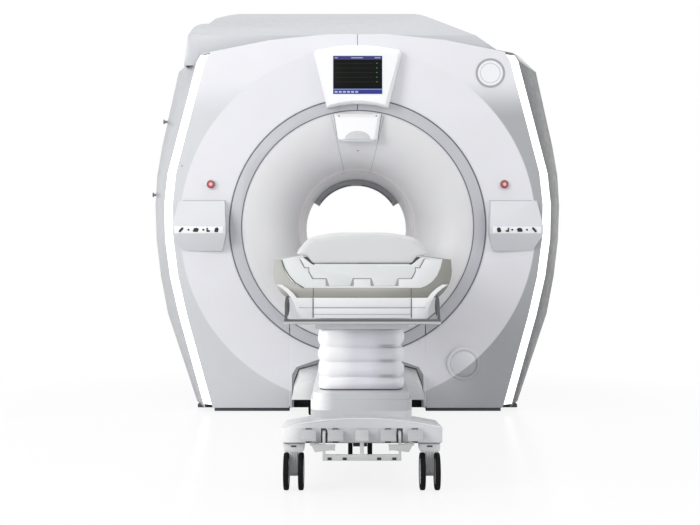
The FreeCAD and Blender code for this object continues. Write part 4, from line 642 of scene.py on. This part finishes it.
def funnels():
    """The two trumpet mouths with their smooth curve, and the bore's lining between them."""
    wall = 0.006
    lip = 0.701
    steps = 30
    inner, outer = ([flare(90 * i / steps, inset) for i in range(steps + 1)] for inset in (0.0, wall))
    flange = [(MOUTH_Y, MOUTH_R - 0.001), (MOUTH_Y + 0.0140, MOUTH_R - 0.001), (MOUTH_Y + 0.0143, lip),
              (MOUTH_Y + 0.0220, lip), (MOUTH_Y + 0.0225, MOUTH_R - 0.004)]
    profile = inner + [(THROAT_Y, BORE_R + wall)] + outer[-2:3:-1] + flange[::-1]
    front = spun("front_mouth", profile, AXIS, "y", bore, *IN_BORE, steps=192)
    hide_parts("front_funnel")
    back = spun("rear_mouth", [(-y, radius) for y, radius in profile], AXIS, "y", bore, *IN_BORE, steps=192)
    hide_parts("rear_funnel")
    reach = -THROAT_Y - 0.0003
    tube = band(-reach, reach, BORE_R, BORE_R + wall)
    liner = spun("bore_tube", tube, AXIS, "y", bore, *IN_BORE, steps=160)
    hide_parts("bore_liner")


def funnel_path(angle):
    """Points along the funnel at an angle from the top, in degrees, short of its two ends."""
    turn = math.radians(angle)
    spots = [flare(2 + 86 * i / 24) for i in range(25)]
    return [(radius * math.sin(turn), y, BORE_Z + radius * math.cos(turn)) for y, radius in spots]


def vent_crown():
    """The crescent of vents at the far end of the bore's roof, with a long slot and a lip on each side."""
    near, far = 0.462, 0.488
    spun("vent_crescent", band(near, far, 0.3060, 0.3485, 0.002), AXIS, "y", vent, *IN_BORE, sweep=(-58, 58))
    for side, word in SIDES.items():
        for part, proud, inner, outer, edge, paint in (("slot", 0.0006, 0.3095, 0.3150, 0.0003, dark_plastic),
                                                       ("lip", 0.0004, 0.3230, 0.3250, 0.0002, soft_line)):
            spun(f"vent_{part}_{word}", band(near - proud, near + 0.002, inner, outer, edge), AXIS, "y",
                 paint, *IN_BORE, steps=40, sweep=sorted((7 * side, 53 * side)))


def ring_lines():
    """Gaskets at the ring's two edges, the funnel's seams, the line round the throat and a sensor's window."""
    for part, far, inner, outer in (("inner", RING_FACE + 0.004, MOUTH_R, RING_INNER + 0.0015),
                                    ("outer", DISH_Y + 0.002, RING_OUTER - 0.0025, DISH_R + 0.0015)):
        spun(f"ring_gasket_{part}", band(RING_FACE - 0.0006, far, inner, outer, 0.0005), AXIS, "y", gasket,
             *ON_TRIM, steps=192)
    for side, word in SIDES.items():
        swept(f"funnel_seam_{word}", funnel_path(13.5 * side), 0.0011, soft_line, *IN_BORE)
    turns = [2 * math.pi * i / 128 for i in range(128)]
    throat = [(BORE_R * math.sin(turn), THROAT_Y, BORE_Z + BORE_R * math.cos(turn)) for turn in turns]
    swept("throat_line", throat, 0.0011, soft_line, *IN_BORE, closed=True)
    y, radius = flare(43)
    spun("sensor_window", band(-0.0012, 0.0015, 0.0, 0.0055, 0.0004), (0.003, y, BORE_Z + radius), "z", dark,
         *IN_BORE, steps=24)


def dish_depth(x, z):
    """How far the dished cover lies behind its flat front at a place."""
    return (CREASE_R - math.hypot(x, BORE_Z - z)) * DISH_SLOPE


def seam_light_and_shade():
    """Painted highlights as light strips down the two seams beside the lower cover, and a painted highlight and
    a dark edge at the seam above.
    """
    face = FRONT + 0.0014
    low, high = 0.1214, 0.446
    levels = [low + (high - low) * i / 8 for i in range(9)]
    line = [(face, 0.030)] + [(face + dish_depth(SEAM_X, z), z) for z in levels]
    outline = line + [(y + 0.003, z) for y, z in reversed(line)]
    # Each seam gets a strip of painted highlight.
    for side, word in SIDES.items():
        x = sorted((side * (SEAM_X - 0.0018), side * (SEAM_X + 0.0018)))
        prism(f"seam_strip_{word}", outline, "yz", *x, pale_trim_and_highlight, *ON_TRIM, 0.0)
    for name, x, paint in (("light", (0.0012, 0.0040), pale_trim_and_highlight), ("shade", (-0.0022, 0.0012), gasket)):
        block(f"brow_{name}", x, (FRONT - 0.0006, FRONT + 0.006), (2.156, 2.224), paint, *ON_TRIM, 0.0)


funnels()
vent_crown()
ring_lines()
seam_light_and_shade()


# -------------------- fittings on the gantry


def lamp_lines():
    """The lamp's scalloped lower edge, its side lines and the two screws at its top."""
    face = FRONT - 0.010
    scallop = oval(0.0, 1.6035, 0.076, 0.050, [math.pi * i / 20 for i in range(21)])
    prism("lamp_scallop", scallop, "xz", face - 0.0008, face + 0.002, vent, *ON_COVER, 0.0006)
    for side, word in SIDES.items():
        path = [(side * 0.1185, face + 0.0225, 1.6025), (side * 0.1415, face + 0.0225, 1.7565)]
        swept(f"lamp_side_{word}", path, 0.0013, dark_plastic, *ON_COVER)
        spun(f"lamp_screw_{word}", band(-0.0012, 0.001, 0.0, 0.004, 0.0004),
             (side * 0.110, face + 0.006, 1.742), "y", dark, *ON_COVER, steps=16)


def bezel():
    """The raised edge round the screen, with painted highlight at its right and bottom and painted shade at its
    left and top.
    """
    low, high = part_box("display_screen")
    y = FRONT - 0.0668, FRONT - 0.0635
    wide = 0.0042
    slim = wide / 2
    for word, x, z, paint in (("right", (high.x, high.x + wide), (low.z - wide, high.z + wide), pale_trim_and_highlight),
                              ("bottom", (low.x - wide, high.x), (low.z - wide, low.z), pale_trim_and_highlight),
                              ("left", (low.x - slim, low.x), (low.z, high.z), soft_line),
                              ("top", (low.x - slim, high.x), (high.z, high.z + slim), soft_line)):
        block(f"bezel_{word}", x, y, z, paint, *ON_COVER, 0.0006)


def front_plates():
    """The blank round plate at the upper right, and the boss round the service cap."""
    centre = 0.783, FRONT, 1.996
    for part, profile, paint in (("rim", band(-0.0022, 0.001, 0.074, 0.087), soft_line),
                                 ("face", band(-0.0014, 0.001, 0.0, 0.074, 0.0005), pale_trim_and_highlight),
                                 ("line", bead(-0.0014, 0.058, 0.0012), soft_line)):
        spun(f"roundel_{part}", profile, centre, "y", paint, *ON_COVER)
    cap = 0.626, FRONT, 0.280
    boss = [(-0.0004, 0.0985), (-0.0040, 0.0945), (-0.0046, 0.0880), (-0.0042, 0.0800), (-0.0004, 0.0794),
            (0.008, 0.0794), (0.008, 0.0985)]
    spun("cap_boss", boss, cap, "y", cover, *ON_COVER, steps=96)
    line = band(-0.0008, 0.003, 0.0778, 0.0798, 0.0003)
    spun("cap_line", line, cap, "y", soft_line, *ON_COVER, steps=96)


def panel_marks():
    """Bold plain marks on each strip of keys, a soft line at each panel's top and a screw on the left band."""
    slash = (1, -1), (0.3, -1), (-1, 0.4), (-1, 1), (-0.2, 1), (1, -0.4)
    dot = (1, 0), (0.3, 1), (-0.3, 1), (-1, 0), (0, -1)
    lozenge = (1, -0.6), (0.5, 0.9), (-0.5, 1), (-1, 0.3), (-0.6, -1), (0.6, -1)
    hook = (1, 1), (0.2, 1), (0.1, -0.1), (-1, -0.2), (-0.9, -1), (0.9, -1)
    marks = ((1.030, 0.013, 0.014, slash), (0.987, 0.007, 0.006, dot), (0.945, 0.018, 0.012, lozenge),
             (0.901, 0.008, 0.006, dot), (0.873, 0.010, 0.012, hook), (0.824, 0.013, 0.014, lozenge))
    for side, word in SIDES.items():
        for i, (x, wide, tall, shape) in enumerate(marks):
            outline = [(side * (x + u * wide), KEY_Z + v * tall) for u, v in shape]
            prism(f"key_mark_{word}_{i}", outline, "xz", *KEY_Y, ink, *ON_COVER, 0.0)
        top = [(side * x, FRONT - 0.0006, 1.2425) for x in (0.776, 0.86, 0.95, 1.030)]
        swept(f"panel_top_{word}", top, 0.0014, soft_line, *ON_COVER)
    spun("band_screw", band(-0.0012, 0.001, 0.0, 0.0055, 0.0004), (-1.037, FRONT, 1.447), "y", soft_line,
         *ON_COVER, steps=20)


def arch_lining():
    """A grey lining between the docking arch and the dolly's nose, set back from the cover's face."""
    near, far = 0.004, 0.008
    pairs = [((0.388, 0.022), (0.3775, 0.022)), ((0.388, 0.215), (0.3775, 0.172)),
             ((0.362, 0.258), (0.350, 0.2485)), ((0.248, 0.297), (0.248, 0.2765))]
    middle = [((x, 0.297 + 0.033 * (1 - (x / 0.248) ** 2)), (x, 0.2495 + 0.054 * (1 - (x / 0.350) ** 2)))
              for x in (0.16, 0.08, 0.0, -0.08, -0.16)]
    pairs += middle + [((-a[0], a[1]), (-b[0], b[1])) for a, b in reversed(pairs)]
    points = []
    for outer, inner in pairs:
        for (x, z), deep in ((outer, near), (inner, near), (inner, far), (outer, far)):
            points.append((x, FRONT + max(0.0, dish_depth(x, z)) + deep, z))
    faces = grid_faces(len(pairs), 4) + end_faces(len(pairs), 4)
    shade(piece("arch_lining", points, faces, dock_grey, *ON_COVER))


arch_lining()
lamp_lines()
bezel()
front_plates()
panel_marks()


# -------------------- pad


def limit_x(z):
    """Half the width that the pad may fill at a height, clear of the cradle's rims."""
    steps = ((0.905, 0.189), (0.936, 0.213), (0.944, 0.256))
    for (low, half), (high, wide) in zip(steps, steps[1:]):
        if z < high:
            return half + (wide - half) * max(0.0, z - low) / (high - low)
    return steps[-1][1]


def cloth_swell(obj, cap):
    """Swell a closed mesh like a stuffed cover, no point further than cap."""
    start = [v.co.copy() for v in obj.data.vertices]
    cloth = obj.modifiers.new("Cloth", "CLOTH")
    cloth.settings.quality = 4
    cloth.settings.use_pressure = True
    cloth.settings.uniform_pressure_force = 4
    cloth.settings.effector_weights.gravity = 0
    last = 20
    cloth.point_cache.frame_start = 1
    cloth.point_cache.frame_end = last
    for number in range(1, last + 1):
        bpy.context.scene.frame_set(number)
    swollen = obj.evaluated_get(bpy.context.evaluated_depsgraph_get()).to_mesh()
    moved = [v.co.copy() for v in swollen.vertices]
    obj.to_mesh_clear()
    obj.modifiers.remove(cloth)
    bpy.context.scene.frame_set(1)
    for vertex, home, there in zip(obj.data.vertices, start, moved):
        step = there - home
        vertex.co = home + step * min(1.0, cap / max(step.length, 1e-9))


def settle_pad(obj):
    """Keep the pad on its cradle and press its two sewn channels into its crown."""
    margin = 0.0005
    deep, wide = 0.0075, 0.010
    crown_from, crown_over = 0.945, 0.05
    widen = (PAD_HIGH.x - margin) / max(vertex.co.x for vertex in obj.data.vertices)
    for vertex in obj.data.vertices:
        x, y, z = vertex.co
        crown = max(0.0, min(1.0, (z - crown_from) / crown_over))
        for middle in PAD_CHANNELS:
            z -= deep * crown * math.exp(-((y - middle) / wide) ** 2)
        half = limit_x(z)
        vertex.co = (max(-half, min(half, x * widen)), max(PAD_LOW.y + margin, min(PAD_HIGH.y - margin, y)),
                     max(PAD_LOW.z, min(PAD_HIGH.z, z)))


def patient_pad():
    """The cushion, swollen as cloth from the solid, with seams along its edges and channels."""
    middle = (PAD_LOW + PAD_HIGH) / 2
    shrink = 0.003
    mesh = nodes["pad"].data.copy()
    mesh.materials.clear()
    for vertex in mesh.vertices:
        off = vertex.co - middle
        vertex.co = middle + Vector(v * (1 - shrink / h) for v, h in zip(off, (PAD_HIGH - PAD_LOW) / 2))
    obj = placed("patient_pad", mesh)
    obj.modifiers.new("Weld", "WELD").merge_threshold = 0.0001
    remesh = obj.modifiers.new("Voxels", "REMESH")
    remesh.mode = "VOXEL"
    remesh.voxel_size = 0.0105
    obj.modifiers.new("Ease", "SMOOTH").iterations = 1
    whole = bpy.data.meshes.new_from_object(obj.evaluated_get(bpy.context.evaluated_depsgraph_get()))
    obj.modifiers.clear()
    obj.data = whole
    cloth_swell(obj, 0.007)
    settle_pad(obj)
    whole.materials.clear()
    whole.materials.append(vinyl)
    for polygon in whole.polygons:
        polygon.use_smooth = True
    obj.modifiers.new("Fine", "SUBSURF").levels = 1
    obj.modifiers["Fine"].render_levels = 1
    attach(obj, "patient")
    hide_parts("pad")
    pad_seams(obj)


def pad_seams(obj):
    """Piping round the pad's two ends and across its channels, laid on the swollen surface."""
    surface = obj.evaluated_get(bpy.context.evaluated_depsgraph_get())
    start = Vector((0, 0, 0.960))
    for name, y, radius in (("near", PAD_LOW.y + 0.016, 0.0018), ("far", PAD_HIGH.y - 0.016, 0.0018),
                            ("first", PAD_CHANNELS[0], 0.0011), ("second", PAD_CHANNELS[1], 0.0011)):
        start.y = y
        path = []
        for i in range(97):
            turn = math.radians(-95 + 190 * i / 96)
            way = Vector((math.sin(turn), 0, math.cos(turn) * 0.6)).normalized()
            hit, spot, _, _ = surface.ray_cast(start + way * 0.5, -way)
            if hit:
                path.append(spot - way * (radius * 0.3))
        if len(path) > 8:
            swept(f"pad_seam_{name}", path, radius, vinyl, *ON_CRADLE)


patient_pad()


# -------------------- bellows


def rounded_loop(half, near, far, radius, inset, count=40):
    """A rounded rectangle across X and along Y, drawn in by an inset, as evenly spread points."""
    half, near, far, radius = half - inset, near + inset, far - inset, max(0.012, radius - inset)
    arcs = []
    for x, y, start in ((half, near, -90), (half, far, 0), (-half, far, 90), (-half, near, 180)):
        x -= math.copysign(radius, x)
        y += radius if y == near else -radius
        turns = [math.radians(start + 90 * k / 8) for k in range(9)]
        arcs.append([Vector((*spot, 0)) for spot in oval(x, y, radius, radius, turns)])
    loop = []
    for arc, following in zip(arcs, arcs[1:] + arcs[:1]):
        last, goal = arc[-1], following[0]
        spans = count if abs(goal.y - last.y) > abs(goal.x - last.x) else count // 3
        loop += arc + [last.lerp(goal, k / spans) for k in range(1, spans)]
    return loop


def bellows():
    """Soft bulges of coated fabric, creased between them, with folds that deepen to the right."""
    low, high = BELLOWS_LOW, BELLOWS_HIGH
    corner = 0.060
    bulges = len(BELLOWS_LEVELS) - 1
    per_bulge = 14
    crease, clear = 0.0150, 0.0015
    broad, fine = 0.0042, 0.0014
    rows = []
    for i in range(bulges * per_bulge + 1):
        level = i / per_bulge
        share = level % 1.0 if i < bulges * per_bulge else 1.0
        swell = math.sin(math.pi * share) ** 0.55
        inset = crease * (1 - swell) + clear
        step = min(bulges - 1, int(level))
        z = BELLOWS_LEVELS[step] + (BELLOWS_LEVELS[step + 1] - BELLOWS_LEVELS[step]) * (level - step)
        row = []
        for spot in rounded_loop(high.x, low.y, high.y, corner, inset):
            out = (spot - Vector((0, max(low.y + corner, min(high.y - corner, spot.y)), 0))).normalized()
            side = 1.0 + 1.6 * max(0.0, min(1.0, (spot.x - 0.06) / 0.10))
            seed = Vector((spot.x * 7, spot.y * 3.2, z * 26 + math.floor(level) * 3.7))
            fold = noise.noise(seed) * broad * side
            fold += noise.noise(Vector((spot.x * 22, spot.y * 10, z * 60))) * fine * side
            free = min(1.0, 6 * min(level, bulges - level))
            row.append(Vector((spot.x, spot.y, z)) + out * min(0.001, fold * free)
                       + Vector((0, 0, fold * free * 0.7)))
        rows.append(row)
    points = [p for row in rows for p in row]
    faces = grid_faces(len(rows), len(rows[0]))
    obj = piece("lift_bellows", points, faces, bellows_vinyl, "dolly", "pad_vinyl")
    for polygon in obj.data.polygons:
        polygon.use_smooth = True
    skin = obj.modifiers.new("Skin", "SOLIDIFY")
    skin.thickness = 0.003
    skin.offset = -1
    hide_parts("bellows")
    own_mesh(obj)
    foot = [(p.x, p.y, low.z + 0.0015) for p in rounded_loop(high.x, low.y, high.y, corner, 0.012)]
    swept("bellows_foot", foot, 0.0026, dark, "dolly", "trim_grey", closed=True)


bellows()


# -------------------- dolly, casters and pedals


def wheel(name, x, y, body):
    """One tyre with a pale hub."""
    half, rim, shoulder = TYRE_HALF, 0.052, 0.006
    corner = [(half - shoulder + shoulder * math.sin(t), WHEEL_R - shoulder + shoulder * math.cos(t))
              for t in (math.pi / 2 * i / 5 for i in range(6))]
    profile = [(-u, v) for u, v in corner[::-1]] + corner + [(half - 0.002, rim), (-half + 0.002, rim)]
    ring = spun(f"{name}_tyre", profile, (x, y, WHEEL_R), "x", tyre, body, "tyre_black")
    hub = [(half - 0.003, 0.0), (half - 0.0005, 0.012), (half - 0.003, 0.020), (half - 0.005, 0.040),
           (half - 0.001, 0.049), (half - 0.002, rim + 0.001)]
    hub += [(-u, v) for u, v in reversed(hub)]
    spun(f"{name}_hub", hub, (x, y, WHEEL_R), "x", hub_grey, body, "caster_alloy", steps=48)
    return ring


def twin_wheel(name, node, body, reach):
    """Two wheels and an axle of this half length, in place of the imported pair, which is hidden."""
    low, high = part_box(node)
    y = (low.y + high.y) / 2
    ring = wheel(f"{name}_a", low.x + TYRE_HALF, y, body)
    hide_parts(node)
    wheel(f"{name}_b", high.x - TYRE_HALF, y, body)
    spun(f"{name}_axle", band(-reach, reach, 0.0, 0.007, 0.0006), ((low.x + high.x) / 2, y, WHEEL_R), "x",
         chrome, body, "caster_alloy", steps=24)


def fork_shrouds():
    """The white block round each caster's neck, with its small dark slot."""
    half, low, top = 0.040, 0.153, 0.1885
    for place_name in CASTERS:
        near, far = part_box(f"caster_fork_{place_name}")
        x = (near.x + far.x) / 2
        y = far.y - 0.038
        outline = [(x - 0.041, low + 0.005), (x - 0.030, low), (x + 0.030, low), (x + 0.041, low + 0.005),
                   (x + 0.043, top), (x - 0.043, top)]
        place = (f"swivel_{place_name}", "caster_alloy")
        prism(f"shroud_{place_name}", outline, "xz", y - half, y + half, white, *place, 0.004)
        block(f"shroud_slot_{place_name}", (x - 0.011, x + 0.011), (y - half - 0.0008, y - half + 0.003),
              (0.1735, 0.1795), dark, *place, 0.0008)


def foot_bar_parts():
    """The sloping wings of the foot bar's plate, and the small rubber feet along it."""
    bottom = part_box("foot_bar")[0].z
    face = HOOD_FACE - 0.028
    place = ("brake", "pedal_grey")
    for side, word in SIDES.items():
        wing = [(side * x, z) for x, z in ((0.201, 0.193), (0.104, 0.1935), (0.108, 0.172), (0.186, 0.163))]
        prism(f"bar_wing_{word}", wing, "xz", face - 0.001, face + 0.004, lever_grey, *place, 0.0015)
    for i, x in enumerate((-0.128, -0.068, 0.068, 0.128)):
        block(f"bar_foot_{i}", (x - 0.008, x + 0.008), (face - 0.0022, face + 0.002),
              (bottom + 0.003, bottom + 0.013), dark, *place)


def hood_edge_highlight():
    """A bright bead of painted highlight along the hood's curved front edge."""
    half, side, crown = 0.319, 0.258, 0.294
    path = [(x, HOOD_FACE + 0.0002, side + (crown - side) * (1 - (x / half) ** 2) - 0.0022)
            for x in (-half + 2 * half * i / 40 for i in range(41))]
    swept("hood_edge_highlight", path, 0.0021, pale_trim_and_highlight, "dolly", "shell_grey")


def bracket_covers():
    """The dark lens-shaped covers where the handle's brackets meet the hull."""
    turns = [2 * math.pi * i / 20 for i in range(20)]
    for side, word in SIDES.items():
        outline = oval(0.2905 * side, 0.7445, 0.0095, 0.0395, turns)
        prism(f"bracket_cover_{word}", outline, "xz", FOOT - 0.0150, FOOT - 0.0010, dark_plastic, "table",
              "caster_alloy", 0.003)


def table_lines():
    """Seams and lines on the foot end, cords on the cradle's end with wedges of painted shade in its gaps, its
    lip and the hull's plate.
    """
    face = FOOT - 0.0122
    for side, word in SIDES.items():
        for part, y, low, high in (("skirt", face, 0.699, 0.776), ("hull", FOOT - 0.0004, 0.778, 0.814)):
            seam = [(0.190 * side, y, low + (high - low) * i / 3) for i in range(4)]
            swept(f"{part}_seam_{word}", seam, 0.0014, gasket, *ON_TABLE)
    for name, half, z in (("upper", 0.245, 0.7385), ("lower", 0.188, 0.7130)):
        line = [(half * (i - 2) / 2, face, z) for i in range(5)]
        swept(f"skirt_line_{name}", line, 0.0011, soft_line, *ON_TABLE)
    right = [(0.036, 0.852), (0.047, 0.822), (0.127, 0.822), (0.138, 0.852), (0.190, 0.852), (0.205, 0.879),
             (0.205, 0.894), (0.222, 0.894), (0.240, 0.924)]
    path = [(-x, z) for x, z in reversed(right)] + right
    cord = []
    for i, (x, z) in enumerate(path):
        ahead = Vector(path[min(len(path) - 1, i + 1)])
        along = (ahead - Vector(path[max(0, i - 1)])).normalized()
        cord.append((x + along.y * 0.0015, FOOT + 0.0030, z - along.x * 0.0015))
    swept("cradle_cord", cord, 0.0013, soft_line, *ON_CRADLE)
    # Grey wedges of painted shade that fill the gaps at the cradle's end.
    deep = FOOT + 0.0015, FOOT + 0.006
    for i, (low, high) in enumerate(((0.0340, 0.0475), (0.1400, 0.1265))):
        for side, word in SIDES.items():
            wedge = [(side * low, 0.8505), (side * low, 0.8225), (side * high, 0.8225)]
            prism(f"cradle_wedge_{word}_{i}", wedge, "xz", *deep, soft_line, *ON_CRADLE, 0.0)
    edge = [(-0.3118, 0.923), (-0.302, 0.893), (-0.284, 0.862), (-0.260, 0.835), (-0.226, 0.8142)]
    swept("hull_line", [(x, FOOT - 0.0003, z) for x, z in edge], 0.0019, dark_plastic, *ON_TABLE)
    block("pad_lip", (-0.184, 0.184), (FOOT + 0.004, FOOT + 0.020), (0.9030, 0.9072), tray, *ON_CRADLE, 0.0006)
    block("hull_plate", (-0.183, 0.183), HULL_PLATE_Y, (0.6520, 0.7000), plate, *ON_TABLE, 0.0006)


for place_name in CASTERS:
    twin_wheel(place_name, f"caster_wheel_{place_name}", f"wheel_{place_name}", 0.034)
twin_wheel("steering", "steering_wheel", "steering", 0.048)
fork_shrouds()
foot_bar_parts()
hood_edge_highlight()
bracket_covers()
table_lines()


# -------------------- stage, lights and camera


def floor():
    """A pale, faintly glossy floor that fades into the white backdrop."""
    made, tree, shader = blank("studio_floor")
    place = place_of(tree)
    tone = mix(tree, ramp(tree, speckle(tree, place[0], 1.5), 0.3, 0.7), linear((240, 240, 241)),
               linear((244, 244, 245)))
    tree.links.new(tone, shader.inputs["Base Color"])
    shader.inputs["Roughness"].default_value = 0.22
    white_light = tool(tree, "ShaderNodeEmission", {"Color": (1, 1, 1, 1), "Strength": 1.0})
    reach = distance_from(tree, place, (0, -1.2, 0), "z")
    away = ramp(tree, reach, 1.8, 3.2, 0.86, 1.0)
    seen = tree.nodes.new("ShaderNodeLightPath").outputs["Is Camera Ray"]
    share = times(tree, away, seen)
    both = tool(tree, "ShaderNodeMixShader", {0: share, 1: shader.outputs[0], 2: white_light.outputs[0]})
    tree.links.new(both.outputs[0], tree.nodes["Material Output"].inputs["Surface"])
    mesh = bpy.data.meshes.new("studio_floor")
    mesh.from_pydata([(-14, -12, 0), (14, -12, 0), (14, 16, 0), (-14, 16, 0)], [], [(0, 1, 2, 3)])
    mesh.materials.append(made)
    obj = placed("studio_floor", mesh)
    obj.location.z = -0.0005


def world():
    """A plain grey sky for the light, and a white one for what the camera and mirrors see."""
    ambient = 0.58
    made = bpy.data.worlds.new("studio")
    bpy.context.scene.world = made
    made.use_nodes = True
    tree = made.node_tree
    backdrop = tree.nodes["Background"]
    rays = tree.nodes.new("ShaderNodeLightPath")
    seen = maths(tree, "MAXIMUM", rays.outputs["Is Camera Ray"], rays.outputs["Is Transmission Ray"])
    seen = maths(tree, "MAXIMUM", seen, rays.outputs["Is Glossy Ray"])
    backdrop.inputs["Color"].default_value = (1, 1, 1, 1)
    strength = maths(tree, "ADD", times(tree, seen, 1 - ambient), ambient)
    tree.links.new(strength, backdrop.inputs["Strength"])


def softbox(name, place, target, size, power, colour=(1, 1, 1)):
    """A soft lamp that no camera sees, aimed at a target."""
    data = bpy.data.lights.new(name, "AREA")
    data.shape = "RECTANGLE"
    data.size, data.size_y = size
    data.energy = power
    data.color = colour
    obj = placed(name, data)
    obj.location = place
    obj.rotation_euler = (Vector(target) - Vector(place)).to_track_quat("-Z", "Y").to_euler()
    obj.visible_camera = False


def camera():
    """The photograph's eye: at table height, 7 m before the gantry."""
    focal_px, width_px = 1186, 700
    data = bpy.data.cameras.new("studio_camera")
    data.sensor_width = 36
    data.lens = data.sensor_width * focal_px / width_px
    data.shift_x = 0.0014
    data.shift_y = -0.025
    data.clip_end = 60
    obj = placed("studio_camera", data)
    obj.location = (-0.051, -7.875, 0.981)
    obj.rotation_euler = (math.radians(90), 0, 0)
    bpy.context.scene.camera = obj


floor()
world()
softbox("key", (-4.0, -5.4, 2.8), (0, -1.0, 1.1), (2.4, 2.4), 145)
softbox("fill", (4.2, -5.0, 2.2), (0, -1.0, 1.0), (2.4, 2.4), 44, (0.97, 0.97, 1.0))
softbox("top", (0, -1.6, 5.0), (0, -0.9, 0.8), (4.0, 3.0), 45)
softbox("rear", (0.5, 5.5, 3.5), (0, 0.8, 1.1), (4.0, 3.0), 60)
camera()
bpy.context.scene.view_settings.view_transform = "Standard"
